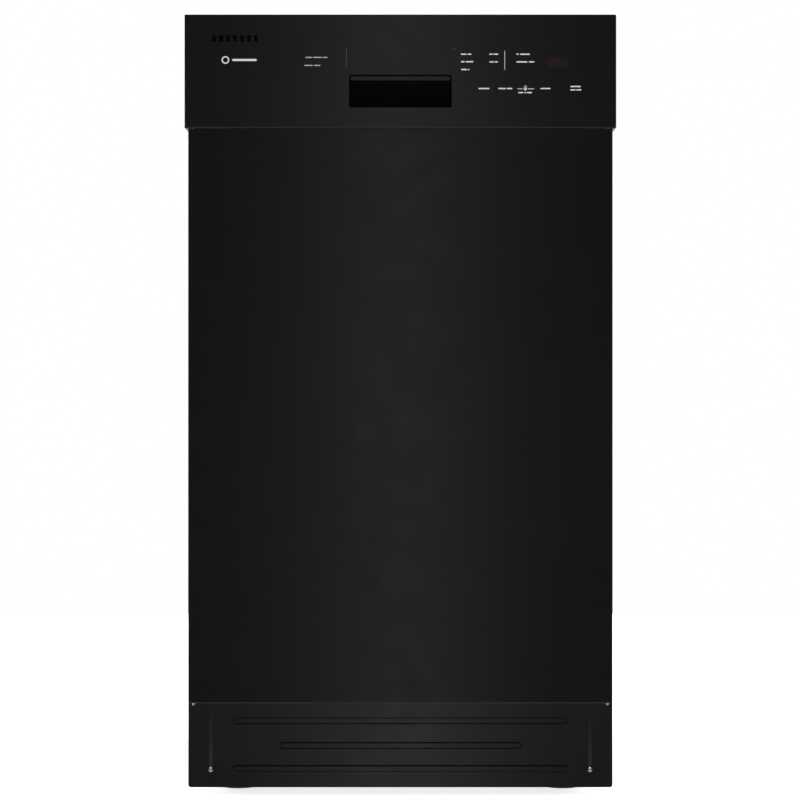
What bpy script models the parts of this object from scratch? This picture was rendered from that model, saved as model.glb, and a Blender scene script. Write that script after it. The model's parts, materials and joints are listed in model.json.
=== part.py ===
"""An 18-inch built-in dishwasher with front controls, as separate working pieces.

Metres, +Z up. X runs across the front, -Y points out of the front, and the origin is on the floor under the
middle of the machine. The door is shut, the racks are in and the feet are wound fully up.
Run it with: blender --background --python part.py
"""

import math

import bmesh
import bpy
from mathutils import Matrix, Vector

# ---------------------------------------------------------------- driving sizes
WIDTH = 0.448  # console, the widest piece
DEPTH = 0.622
HEIGHT = 0.812
GAP = 0.0004  # between pieces that seat on each other
RUN = 0.0006  # between pieces that move past each other

CONSOLE_HEIGHT = 0.1183
CONSOLE_WALL = 0.0025
CONSOLE_EDGE_R = 0.0027  # outer edges, rounder than the wall is thick
CONSOLE_PROUD = 0.004  # console face in front of the door panel
CONSOLE_SIDE = 0.0035  # console end past the door panel's side
CONSOLE_GAP = 0.0006  # slit between console and door panel
DOOR_THICKNESS = 0.050  # outer face to inner face
DOOR_SHEET = 0.0010
DOOR_BOTTOM = 0.097
INNER_PAN_DEPTH = 0.033
INNER_PAN_INSET = 0.0065  # room for the hinge arms beside the inner pan

HINGE_RISE = 0.003  # hinge axis over the door's bottom edge
HINGE_SETBACK = 0.014  # hinge axis in front of the door's inner face
HINGE_PIN_R = 0.0030
ARM_SHEET = 0.0020
ARM_STRAP_LENGTH = 0.214
BRACKET_SHEET = 0.0015
BRACKET_HEIGHT = 0.042

TUB_SIDE_ROOM = 0.0115  # door's side to the tub's inner wall
TUB_TOP_ROOM = 0.022  # tub ceiling to the machine's top
TUB_REAR_ROOM = 0.018  # tub's rear wall to the machine's back
TUB_SHEET = 0.0010
TUB_FRONT_GAP = 0.005  # inner door face to tub flange
TUB_CORNER_R = 0.026
FLANGE = 0.009
LEDGE_RISE = 0.016  # side ledges, which the lower rack rolls on, over the hinge axis
LEDGE_WIDTH = 0.033
BASIN_DEPTH = 0.018  # basin under the ledges
BASIN_INSET = 0.060
SUMP_R = 0.100
SUMP_FORWARD = 0.0355  # sump's centre ahead of the tub's middle
SUMP_DEPTH = 0.068
BLANKET = 0.007

BASE_INSET = 0.011  # base's side inside the tub's inner wall
BASE_SHEET = 0.0025
BASE_LOW = 0.008
BASE_UNDER = 0.0035  # base's top edge under the basin
KICK_SIDE_ROOM = 0.0005  # console end past the kick plate's side
KICK_TOP_GAP = 0.004  # kick plate's top edge under the door
KICK_BOTTOM = 0.004
KICK_SHEET = 0.0010
KICK_CORNER_R = 0.003
RIB_HEIGHT = 0.0065
RIB_PROUD = 0.0016
RIB_RISES = (0.0198, 0.0441, 0.0700)  # beads' middles over the kick plate's lower edge
RIB_END_ROOM = 0.0237  # long beads' ends to the screw slots
SHORT_RIB_INSET = 0.049  # middle bead shorter at each end
SLOT_OUTSET = 0.0017  # screw slots outside the base's sides
SLOT_LOW = 0.0231  # centre of the slot's lower end, where the screw sits
SLOT_HIGH = 0.0797
SLOT_WIDTH = 0.0042
SCREW_R = 0.0016
SCREW_HEAD_R = 0.0033
SCREW_HEAD_TALL = 0.0032

FOOT_INSET = 0.026  # foot's axis inside the base's side
FOOT_FRONT_SETBACK = 0.024
FOOT_REAR_SETBACK = 0.040
FOOT_SHANK_R = 0.0040
FOOT_PAD_R = 0.018
FOOT_TALL = 0.072
FOOT_BLOCK_HALF = 0.018

SPRING_OUTSET = 0.011  # spring's axis outside the base's side
SPRING_UNDER = 0.0145  # spring's axis under the base's top edge
SPRING_SETBACK = 0.097  # spring's front end behind the tub's flange
SPRING_LENGTH = 0.1900
SPRING_R = 0.0065
SPRING_WIRE = 0.0010
SPRING_TURNS = 10
ROPE_LENGTH = 0.050
ROPE_R = 0.0015

RACK_WIRE = 0.0024  # half the wire's thickness
RIM_STEP = 1.12  # rings are a little thicker than the wires they tie
LOWER_FLOOR_RISE = 0.027  # lower rack's floor over the ledges
LOWER_RACK_TALL = 0.147
LOWER_FOOT_ROOM = (0.025, 0.044, 0.057)  # tub wall to the rack's floor: side, front, rear
LOWER_TOP_ROOM = (0.011, 0.020, 0.043)  # tub wall to the rack's rim
UPPER_FLOOR_DROP = 0.293  # upper rack's floor under the tub's ceiling
UPPER_RACK_TALL = 0.113
UPPER_FOOT_ROOM = (0.029, 0.030, 0.061)
UPPER_TOP_ROOM = (0.019, 0.023, 0.055)
TINE_TALL = 0.080
WHEEL_R = 0.0170
WHEEL_WIDTH = 0.0090
WHEEL_SIDE_ROOM = 0.0145  # tub wall to the wheel's middle
WHEEL_SETBACKS = (0.058, 0.033)  # axles in from the rack's floor, front and rear
WHEEL_CLEARANCE = 0.0003  # wheel over its ledge
AXLE_R = 0.0030
ROLLER_R = 0.0070
ROLLER_RISE = 0.0755  # rollers over the upper rack's floor
ROLLER_SETBACKS = (0.272, 0.032)  # rollers ahead of the upper rack's rear
RAIL_TALL = 0.025
RAIL_DEEP = 0.0078
RAIL_SHEET = 0.0015
RAIL_LIP = 0.004
RAIL_SIDE_ROOM = 0.0022
RAIL_END_ROOM = (0.027, 0.038)
SHELF_INSET = 0.012  # cup shelf's hinge inside the upper rack's rim
SHELF_DROP = 0.010
SHELF_SETBACK = 0.043
SHELF_LENGTH = 0.172
SHELF_WIDTH = 0.078
SHELF_THICK = 0.0026
SHELF_PIN_R = 0.0016
BASKET_SIZE = (0.076, 0.245, 0.114)
BASKET_SETBACK = 0.023
BASKET_SIDE_ROOM = 0.008
BASKET_WALL = 0.002

ARM_SIDE_ROOM = 0.034  # tub wall to a spray arm's tip
ARM_HUB_SETBACK = 0.036  # arm's hub behind the sump's centre
ARM_HUB_R = 0.0215
ARM_POST_R = 0.0115
ARM_THICK = 0.0110
ARM_RISE = 0.0035  # underside of the lower spray arm over the ledges
UPPER_ARM_DROP = 0.036  # underside of the upper spray arm under its rack
MANIFOLD_DROP = 0.010
MANIFOLD_R = 0.0050

HEATER_R = 0.120
HEATER_WIRE = 0.0040
HEATER_RISE = 0.0085  # heater over the basin
HEATER_GAP_ANGLE = 10.0  # degrees either side of the gap in the ring
FEED_SETBACK = 0.019  # feed pipe's axis ahead of the tub's rear
FEED_R = 0.0100
FLOAT_OFFSET = (-0.112, -0.155)  # from the sump's centre
FLOAT_STEM_R = 0.0040
FILTER_SIDE_ROOM = 0.023  # filter's side to the sump's
FILTER_R = 0.034
FILTER_RISE = 0.014
FILTER_TALL = 0.050
PUMP_SETBACK = 0.165
PUMP_R = 0.032
PUMP_DROP = 0.041
DRAIN_R = 0.022

POCKET_HALF = 0.0532
POCKET_RISE = 0.0217  # pocket's lower edge over the console's
POCKET_TALL = 0.0341
POCKET_DEEP = 0.036
POCKET_WALL = 0.002
POCKET_LAP = 0.0028  # cup's outer wall past the opening in the console
LEVER_TALL = 0.0050
LEVER_DEEP = 0.0135
LEVER_AXLE_R = 0.0018
LEVER_PIVOT_RISE = 0.0085  # pivot over the pocket's upper edge
LEVER_PIVOT_SETBACK = 0.005
LEVER_ARM_X = 0.032
VENT_SLOTS = 7
VENT_SLOT_WIDTH = 0.0040
VENT_SLOT_HEIGHT = 0.0072
VENT_PITCH = 0.0072
VENT_END_ROOM = 0.0525  # middle of the row of slots to the console's end
VENT_TOP_ROOM = 0.0250
VENT_MARGIN = 0.003
VENT_RECESS = 0.0008
DISPLAY_END_ROOM = 0.0617
DISPLAY_RISE = 0.0685
DISPLAY_SIZE = (0.0290, 0.0150)
BOARD_SHEET = 0.0016
CAP_SIDE_ROOM = 0.0705  # round vent cap's centre to the door's side
CAP_RISE = 0.051
CAP_R = 0.035
LATCH_HALF = 0.029
LATCH_TALL = 0.018
DISPENSER_LOW = (-0.020, 0.380)
DISPENSER_SIZE = (0.170, 0.120)
DISPENSER_PROUD = 0.008
CUP_INSET = (0.024, 0.014)
CUP_SIZE = (0.068, 0.062)
RINSE_OFFSET = (0.133, 0.060)
RINSE_CAP_R = 0.017

# ---------------------------------------------------------------- derived places
FRONT = -DEPTH / 2  # console face
REAR = DEPTH / 2
DOOR_FACE = FRONT + CONSOLE_PROUD
DOOR_INNER = DOOR_FACE + DOOR_THICKNESS
DOOR_HALF = WIDTH / 2 - CONSOLE_SIDE
INNER_HALF = DOOR_HALF - INNER_PAN_INSET
CONSOLE_LOW = HEIGHT - CONSOLE_HEIGHT
DOOR_TOP = CONSOLE_LOW - CONSOLE_GAP
HINGE_Y = DOOR_INNER - HINGE_SETBACK
HINGE_Z = DOOR_BOTTOM + HINGE_RISE

TUB_FRONT = DOOR_INNER + TUB_FRONT_GAP
TUB_BACK = REAR - TUB_REAR_ROOM
TUB_HALF = DOOR_HALF - TUB_SIDE_ROOM
TUB_CEILING = HEIGHT - TUB_TOP_ROOM
INNER_DOOR_TOP = TUB_CEILING + FLANGE + 0.001
LEDGE_Z = HINGE_Z + LEDGE_RISE
BASIN_Z = LEDGE_Z - BASIN_DEPTH
SUMP_Y = (TUB_FRONT + TUB_BACK) / 2 - SUMP_FORWARD
BODY_FACE = DOOR_INNER + DISPENSER_PROUD  # front of the dispenser, inside the tub

BASE_HALF = TUB_HALF - BASE_INSET
BASE_HIGH = BASIN_Z - BASE_UNDER
BASE_FRONT = TUB_FRONT + 0.006
KICK_FACE = HINGE_Y + 0.009  # clear of the door's bottom edge as it swings under
KICK_HALF = WIDTH / 2 - KICK_SIDE_ROOM
KICK_TOP = DOOR_BOTTOM - KICK_TOP_GAP
KICK_TAB_FRONT = KICK_FACE + KICK_SHEET + GAP
SLOT_X = BASE_HALF + SLOT_OUTSET
LONG_RIB = 2 * (SLOT_X - RIB_END_ROOM)
SHORT_RIB = LONG_RIB - 2 * SHORT_RIB_INSET
FOOT_X = BASE_HALF - FOOT_INSET
FOOT_ROWS = (("front", BASE_FRONT + FOOT_FRONT_SETBACK), ("rear", REAR - FOOT_REAR_SETBACK))
SPRING_X = BASE_HALF + SPRING_OUTSET
SPRING_Z = BASE_HIGH - SPRING_UNDER
SPRING_FRONT = TUB_FRONT + SPRING_SETBACK

ARM_LENGTH = 2 * (TUB_HALF - ARM_SIDE_ROOM)
ARM_HUB_Y = SUMP_Y + ARM_HUB_SETBACK
LOWER_ARM_Z = LEDGE_Z + ARM_RISE
HEATER_Z = BASIN_Z + HEATER_RISE
HEATER_LEG_X = HEATER_R * math.sin(math.radians(HEATER_GAP_ANGLE))
HEATER_LEG_Y = SUMP_Y + HEATER_R * math.cos(math.radians(HEATER_GAP_ANGLE))
FEED_Y = TUB_BACK - FEED_SETBACK
FLOAT_XY = (FLOAT_OFFSET[0], SUMP_Y + FLOAT_OFFSET[1])
FILTER_XY = (0.0, SUMP_Y - (SUMP_R - FILTER_R - FILTER_SIDE_ROOM))
FILTER_TOP = BASIN_Z + FILTER_RISE
FILTER_LOW = FILTER_TOP - FILTER_TALL
PUMP_Y = SUMP_Y + PUMP_SETBACK
PUMP_Z = BASIN_Z - PUMP_DROP

WHEEL_X = TUB_HALF - WHEEL_SIDE_ROOM
AXLE_Z = LEDGE_Z + WHEEL_CLEARANCE + WHEEL_R
LOWER_RACK_FLOOR = LEDGE_Z + LOWER_FLOOR_RISE
LOWER_RACK_RIM = LOWER_RACK_FLOOR + LOWER_RACK_TALL
UPPER_RACK_FLOOR = TUB_CEILING - UPPER_FLOOR_DROP
UPPER_RACK_RIM = UPPER_RACK_FLOOR + UPPER_RACK_TALL
UPPER_ARM_Z = UPPER_RACK_FLOOR - UPPER_ARM_DROP
MANIFOLD_Z = UPPER_RACK_FLOOR - MANIFOLD_DROP
ROLLER_Z = UPPER_RACK_FLOOR + ROLLER_RISE
RAIL_OUTER = TUB_HALF - RAIL_SIDE_ROOM
RAIL_INNER = RAIL_OUTER - RAIL_DEEP

POCKET_LOW = CONSOLE_LOW + POCKET_RISE
POCKET_HIGH = POCKET_LOW + POCKET_TALL
LEVER_PIVOT_Y = FRONT + LEVER_PIVOT_SETBACK
LEVER_PIVOT_Z = POCKET_HIGH + LEVER_PIVOT_RISE
VENT_X = VENT_END_ROOM - WIDTH / 2  # middle of the row of slots
VENT_Z = HEIGHT - VENT_TOP_ROOM
DISPLAY_X = WIDTH / 2 - DISPLAY_END_ROOM
DISPLAY_Z = CONSOLE_LOW + DISPLAY_RISE
CAP_X = CAP_SIDE_ROOM - DOOR_HALF
CAP_Z = CONSOLE_LOW + CAP_RISE
DISPENSER_HIGH = tuple(a + b for a, b in zip(DISPENSER_LOW, DISPENSER_SIZE, strict=True))
CUP_LOW = tuple(a + b for a, b in zip(DISPENSER_LOW, CUP_INSET, strict=True))
CUP_HIGH = tuple(a + b for a, b in zip(CUP_LOW, CUP_SIZE, strict=True))
RINSE_XZ = tuple(a + b for a, b in zip(DISPENSER_LOW, RINSE_OFFSET, strict=True))
MID_SIDES = 24  # sides of a mid-sized round piece


def rack_outline(room):
    """Half width, front and rear of a rack that stands clear of the tub's walls by room."""
    side, front, rear = room
    return (TUB_HALF - side, TUB_FRONT + front, TUB_BACK - rear)


def evenly(low, high, count):
    return [low + (high - low) * i / (count - 1) for i in range(count)]


LOWER_FOOT = rack_outline(LOWER_FOOT_ROOM)
LOWER_TOP = rack_outline(LOWER_TOP_ROOM)
UPPER_FOOT = rack_outline(UPPER_FOOT_ROOM)
UPPER_TOP = rack_outline(UPPER_TOP_ROOM)
LOWER_CROSS_Y = evenly(LOWER_FOOT[1] + 0.038, LOWER_FOOT[2] - 0.054, 5)
LOWER_LONG_X = evenly(0.036 - LOWER_FOOT[0], LOWER_FOOT[0] - 0.036, 5)
UPPER_CROSS_Y = evenly(UPPER_FOOT[1] + 0.042, UPPER_FOOT[2] - 0.052, 5)
UPPER_LONG_X = evenly(0.048 - UPPER_FOOT[0], UPPER_FOOT[0] - 0.048, 4)
WHEEL_Y = (LOWER_FOOT[1] + WHEEL_SETBACKS[0], LOWER_FOOT[2] - WHEEL_SETBACKS[1])
ROLLER_Y = [UPPER_FOOT[2] - setback for setback in ROLLER_SETBACKS]
SHELF_X = SHELF_INSET - UPPER_TOP[0]
SHELF_Z = UPPER_RACK_RIM - SHELF_DROP
SHELF_ENDS = (UPPER_TOP[1] + SHELF_SETBACK, UPPER_TOP[1] + SHELF_SETBACK + SHELF_LENGTH)

MATERIALS = {
    "black_enamel": ((0.012, 0.012, 0.013), 0.30, 0.0),
    "console_black": ((0.013, 0.013, 0.014), 0.34, 0.0),
    "stainless": ((0.62, 0.62, 0.61), 0.30, 1.0),
    "galvanised": ((0.52, 0.54, 0.56), 0.42, 1.0),
    "grey_plastic": ((0.30, 0.31, 0.32), 0.50, 0.0),
    "dark_plastic": ((0.025, 0.025, 0.027), 0.50, 0.0),
    "white_plastic": ((0.72, 0.72, 0.70), 0.45, 0.0),
    "rack_vinyl": ((0.36, 0.37, 0.38), 0.45, 0.0),
    "rubber": ((0.02, 0.02, 0.02), 0.75, 0.0),
    "felt": ((0.06, 0.06, 0.06), 0.95, 0.0),
    "display_glass": ((0.05, 0.022, 0.010), 0.12, 0.0),
    "circuit_board": ((0.02, 0.14, 0.06), 0.50, 0.0),
    "steel": ((0.55, 0.55, 0.55), 0.30, 1.0),
    "heater_steel": ((0.28, 0.27, 0.26), 0.38, 1.0),
}


# ---------------------------------------------------------------- scene and materials
def clear_scene():
    for obj in list(bpy.data.objects):
        bpy.data.objects.remove(obj, do_unlink=True)


def new_collection(name):
    collection = bpy.data.collections.new(name)
    bpy.context.scene.collection.children.link(collection)
    return collection


clear_scene()
PARTS = new_collection("built_in_dishwasher")
CUTTERS = new_collection("cutters")


def material(name):
    found = bpy.data.materials.get(name)
    if found:
        return found
    color, roughness, metallic = MATERIALS[name]
    made = bpy.data.materials.new(name)
    made.use_nodes = True
    shader = made.node_tree.nodes["Principled BSDF"]
    shader.inputs["Base Color"].default_value = (*color, 1.0)
    shader.inputs["Roughness"].default_value = roughness
    shader.inputs["Metallic"].default_value = metallic
    return made


# ---------------------------------------------------------------- shapes
def object_of(name, mesh):
    obj = bpy.data.objects.new(name, mesh)
    PARTS.objects.link(obj)
    return obj


def mesh_object(name, bm):
    mesh = bpy.data.meshes.new(name)
    bm.to_mesh(mesh)
    bm.free()
    return object_of(name, mesh)


def box(name, low, high):
    low, high = Vector(low), Vector(high)
    bm = bmesh.new()
    bmesh.ops.create_cube(bm, size=1.0)
    size = Matrix.Diagonal((*(high - low), 1.0))
    bmesh.ops.transform(bm, matrix=Matrix.Translation((low + high) / 2) @ size, verts=bm.verts)
    return mesh_object(name, bm)


def rod_into(bm, start, end, radius, sides, end_radius=None):
    """Adds a closed cylinder or cone from start to end to a mesh under construction."""
    start, end = Vector(start), Vector(end)
    along = end - start
    turn = along.to_track_quat("Z", "Y").to_matrix().to_4x4()
    place = Matrix.Translation((start + end) / 2) @ turn
    bmesh.ops.create_cone(
        bm,
        cap_ends=True,
        segments=sides,
        radius1=radius,
        radius2=radius if end_radius is None else end_radius,
        depth=along.length,
        matrix=place,
    )


def rod(name, start, end, radius, sides=MID_SIDES, end_radius=None):
    bm = bmesh.new()
    rod_into(bm, start, end, radius, sides, end_radius)
    return mesh_object(name, bm)


def turned(name, profile, place, steps=MID_SIDES):
    """A turned piece: the profile's (radius, height) points run down its outer side, from axis to axis."""
    mesh = bpy.data.meshes.new(name)
    points = [(radius, 0.0, height) for radius, height in profile]
    mesh.from_pydata(points, [(i, i + 1) for i in range(len(points) - 1)], [])
    obj = object_of(name, mesh)
    obj.location = place
    screw = obj.modifiers.new("turn", "SCREW")
    screw.steps = steps
    screw.render_steps = steps
    screw.use_merge_vertices = True
    screw.merge_threshold = 0.00001
    screw.use_smooth_shade = True
    return obj


def made_mesh(obj):
    """The object with its modifiers or curve turned into a plain mesh, in the same place."""
    bpy.context.view_layer.update()
    graph = bpy.context.evaluated_depsgraph_get()
    mesh = bpy.data.meshes.new_from_object(obj.evaluated_get(graph))
    mesh.transform(obj.matrix_world)
    bm = bmesh.new()
    bm.from_mesh(mesh)
    bmesh.ops.remove_doubles(bm, verts=bm.verts, dist=0.000001)
    bmesh.ops.recalc_face_normals(bm, faces=bm.faces)
    bm.to_mesh(mesh)
    bm.free()
    name = obj.name
    bpy.data.objects.remove(obj, do_unlink=True)
    mesh.name = name
    return object_of(name, mesh)


# Which way a flat outline's own X, Y and thickness point when it is extruded along a world axis.
OUTLINE_FRAMES = {
    "X": Matrix(((0, 0, 1), (1, 0, 0), (0, 1, 0))),
    "Y": Matrix(((1, 0, 0), (0, 0, -1), (0, 1, 0))),
    "Z": Matrix(((1, 0, 0), (0, 1, 0), (0, 0, 1))),
}


def prism(name, outline, axis, low, high):
    """A flat outline extruded along a world axis from low to high."""
    curve = bpy.data.curves.new(name, "CURVE")
    curve.dimensions = "2D"
    curve.fill_mode = "BOTH"
    curve.extrude = (high - low) / 2
    spline = curve.splines.new("POLY")
    spline.points.add(len(outline) - 1)
    for point, (u, v) in zip(spline.points, outline, strict=True):
        point.co = (u, v, 0.0, 1.0)
    spline.use_cyclic_u = True
    obj = object_of(name, curve)
    shift = {"X": (1, 0, 0), "Y": (0, 1, 0), "Z": (0, 0, 1)}[axis]
    middle = Vector(shift) * (low + high) / 2
    obj.matrix_world = Matrix.Translation(middle) @ OUTLINE_FRAMES[axis].to_4x4()
    return made_mesh(obj)


def wires(name, paths, radius, resolution=0, closed=False):
    """Round bar bent along each path; the paths don't touch each other."""
    curve = bpy.data.curves.new(name, "CURVE")
    curve.dimensions = "3D"
    curve.bevel_depth = radius
    curve.bevel_resolution = resolution
    curve.use_fill_caps = not closed
    for points in paths:
        spline = curve.splines.new("POLY")
        spline.points.add(len(points) - 1)
        spline.use_cyclic_u = closed
        for point, place in zip(spline.points, points, strict=True):
            point.co = (*place, 1.0)
    return made_mesh(object_of(name, curve))


def tube(name, points, radius, resolution=2):
    return wires(name, [points], radius, resolution)


def shell(name, low, high, open_side, wall, corner=0.0):
    """A five-sided sheet box, open on one side such as '+Y', its outer faces at low and high."""
    low, high = Vector(low), Vector(high)
    axis = "XYZ".index(open_side[1])
    sign = 1 if open_side[0] == "+" else -1
    bm = bmesh.new()
    bmesh.ops.create_cube(bm, size=1.0)
    size = Matrix.Diagonal((*(high - low), 1.0))
    bmesh.ops.transform(bm, matrix=Matrix.Translation((low + high) / 2) @ size, verts=bm.verts)
    gone = [f for f in bm.faces if f.normal[axis] * sign > 0.5]
    bmesh.ops.delete(bm, geom=gone, context="FACES")
    if corner:
        edges = [e for e in bm.edges if len(e.link_faces) == 2]
        bmesh.ops.bevel(bm, geom=edges, offset=corner, segments=2, profile=0.5, affect="EDGES")
    obj = mesh_object(name, bm)
    solid = obj.modifiers.new("sheet", "SOLIDIFY")
    solid.thickness = wall
    solid.offset = -1.0
    solid.use_even_offset = True
    return made_mesh(obj)


def boolean(obj, other, operation):
    modifier = obj.modifiers.new(other.name, "BOOLEAN")
    modifier.operation = operation
    modifier.solver = "EXACT"
    modifier.object = other
    PARTS.objects.unlink(other)
    CUTTERS.objects.link(other)
    other.hide_render = True
    other.display_type = "WIRE"


def cut(obj, *cutters):
    for cutter in cutters:
        boolean(obj, cutter, "DIFFERENCE")
    return obj


def join(obj, *others):
    for other in others:
        boolean(obj, other, "UNION")
    return obj


def rounded(obj, width, segments=2, angle=40.0):
    bevel = obj.modifiers.new("edges", "BEVEL")
    bevel.width = width
    bevel.segments = segments
    bevel.limit_method = "ANGLE"
    bevel.angle_limit = math.radians(angle)
    return obj


def finish(obj, finish_name, origin=None, smooth=35.0):
    """Gives the piece its material and shading, and puts its origin on its joint's axis."""
    obj.data.materials.clear()
    obj.data.materials.append(material(finish_name))
    if origin is not None:
        shift = Vector(origin) - obj.location
        obj.data.transform(Matrix.Translation(-shift))
        obj.location = origin
    if obj.data.polygons:
        obj.data.shade_smooth()
        obj.data.set_sharp_from_angle(angle=math.radians(smooth))
    return obj


# ---------------------------------------------------------------- outlines
def arc(centre, radius, start, end, steps):
    """Points round part of a circle, in degrees, both ends included."""
    turns = [math.radians(start + (end - start) * i / steps) for i in range(steps + 1)]
    return [(centre[0] + radius * math.cos(a), centre[1] + radius * math.sin(a)) for a in turns]


def rounded_rectangle(low, high, radii, steps=3):
    """Corner radii run from the lower left, anticlockwise."""
    (x0, y0), (x1, y1) = low, high
    corners = ((x0, y0, 1, 1, 180), (x1, y0, -1, 1, 270), (x1, y1, -1, -1, 0), (x0, y1, 1, -1, 90))
    points = []
    for (x, y, sx, sy, start), radius in zip(corners, radii, strict=True):
        if radius:
            points += arc((x + sx * radius, y + sy * radius), radius, start, start + 90, steps)
        else:
            points.append((x, y))
    return points


def stadium(centre, half_length, radius, upright=False, steps=6):
    """A bar with round ends, along the outline's first axis or upright."""
    u, v = centre
    straight = half_length - radius
    if upright:
        return arc((u, v + straight), radius, 0, 180, steps) + arc((u, v - straight), radius, 180, 360, steps)
    return arc((u + straight, v), radius, -90, 90, steps) + arc((u - straight, v), radius, 90, 270, steps)


def both_sides():
    return (("left", -1), ("right", 1))


# ---------------------------------------------------------------- tub
def u_path(half, top, low, radius):
    """The tub's section from the foot of its left side, over the top, to the foot of its right side."""
    left = arc((-half + radius, top - radius), radius, 180, 90, 5)
    right = arc((half - radius, top - radius), radius, 90, 0, 5)
    return [(-half, low), *left, *right, (half, low)]


def lofted(name, loops, closed):
    """A sheet through matching loops of points."""
    bm = bmesh.new()
    rows = [[bm.verts.new(point) for point in loop] for loop in loops]
    count = len(rows[0])
    for first, second in zip(rows, rows[1:], strict=False):
        for i in range(count if closed else count - 1):
            j = (i + 1) % count
            bm.faces.new((first[i], first[j], second[j], second[i]))
    bmesh.ops.triangulate(bm, faces=bm.faces)
    return mesh_object(name, bm)


def thickened(obj, thickness, offset):
    solid = obj.modifiers.new("sheet", "SOLIDIFY")
    solid.thickness = thickness
    solid.offset = offset
    solid.use_even_offset = True
    return made_mesh(obj)


def build_tub():
    inner = u_path(TUB_HALF, TUB_CEILING, LEDGE_Z - 0.014, TUB_CORNER_R)
    foot = LEDGE_Z + 0.022
    flange = u_path(TUB_HALF + FLANGE, TUB_CEILING + FLANGE, foot, TUB_CORNER_R + FLANGE)
    flange_foot = [(x, max(z, foot)) for x, z in inner]
    loops = [
        [(x, TUB_FRONT, z) for x, z in flange],
        [(x, TUB_FRONT, z) for x, z in flange_foot],
        [(x, TUB_FRONT + 0.004, z) for x, z in inner],
        [(x, TUB_BACK, z) for x, z in inner],
    ]
    wrapper = thickened(lofted("tub_wrapper", loops, closed=False), TUB_SHEET, 1.0)
    finish(wrapper, "stainless")

    half, top = TUB_HALF + TUB_SHEET, TUB_CEILING + TUB_SHEET
    rear_outline = u_path(half, top, LEDGE_Z - 0.014, TUB_CORNER_R)
    rear = prism("tub_rear", rear_outline[::-1], "Y", TUB_BACK + GAP, TUB_BACK + GAP + TUB_SHEET)
    finish(rear, "stainless")


def rectangle_loop(half_x, y_low, y_high, z, per_side=6):
    corners = [(half_x, y_high), (-half_x, y_high), (-half_x, y_low), (half_x, y_low)]
    points = []
    for i, (x0, y0) in enumerate(corners):
        x1, y1 = corners[(i + 1) % 4]
        for step in range(per_side):
            t = step / per_side
            points.append((x0 + (x1 - x0) * t, y0 + (y1 - y0) * t, z))
    return points


def circle_loop(radius, centre_y, z, per_side=6):
    turns = [math.radians(45 + 90 * i / per_side) for i in range(4 * per_side)]
    return [(radius * math.cos(a), centre_y + radius * math.sin(a), z) for a in turns]


def build_tub_floor():
    """Side ledges for the rack's wheels, a basin between them, and the sump's round hole."""
    half = TUB_HALF - GAP
    front, back = TUB_FRONT + GAP, TUB_BACK - GAP
    steps = (
        (0.0, LEDGE_Z - 0.012),
        (0.0, LEDGE_Z),
        (LEDGE_WIDTH, LEDGE_Z),
        (BASIN_INSET, BASIN_Z),
    )
    loops = [rectangle_loop(half - inset, front + inset, back - inset, z) for inset, z in steps]
    loops.append(circle_loop(SUMP_R, SUMP_Y, BASIN_Z - 0.001))
    floor = thickened(lofted("tub_floor", loops, closed=True), TUB_SHEET, -1.0)
    holes = (
        (-HEATER_LEG_X, HEATER_LEG_Y, HEATER_WIRE + 0.0015),
        (HEATER_LEG_X, HEATER_LEG_Y, HEATER_WIRE + 0.0015),
        (0.0, FEED_Y, FEED_R + 0.0015),
        (*FLOAT_XY, FLOAT_STEM_R + 0.001),
    )
    drill = bmesh.new()
    for x, y, radius in holes:
        rod_into(drill, (x, y, BASIN_Z - 0.02), (x, y, LEDGE_Z + 0.02), radius, 22)
    cut(floor, mesh_object("floor_holes", drill))
    finish(floor, "stainless")


def build_blanket():
    """Sound-deadening felt over the tub's top and sides."""
    off = TUB_SHEET + GAP
    section = u_path(TUB_HALF + off, TUB_CEILING + off, LEDGE_Z + 0.004, TUB_CORNER_R + off)
    loops = [[(x, y, z) for x, z in section] for y in (TUB_FRONT + 0.036, TUB_BACK)]
    blanket = thickened(lofted("sound_blanket", loops, closed=False), BLANKET, 1.0)
    finish(blanket, "felt")


def build_gasket():
    """The seal round the door opening's top and sides, in front of the tub's flange."""
    section = u_path(TUB_HALF + FLANGE / 4, TUB_CEILING + FLANGE / 4, LEDGE_Z + 0.024, TUB_CORNER_R)
    points = [(x, TUB_FRONT - TUB_FRONT_GAP / 2, z) for x, z in section]
    gasket = tube("door_gasket", points, TUB_FRONT_GAP / 2 - GAP, resolution=1)
    finish(gasket, "rubber")


# ---------------------------------------------------------------- base, feet and kick plate
def side_box(name, s, near, far, y_low, y_high, z_low, z_high):
    """A box between two distances from the middle, on the side that s points to."""
    x0, x1 = sorted((s * near, s * far))
    return box(name, (x0, y_low, z_low), (x1, y_high, z_high))


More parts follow.
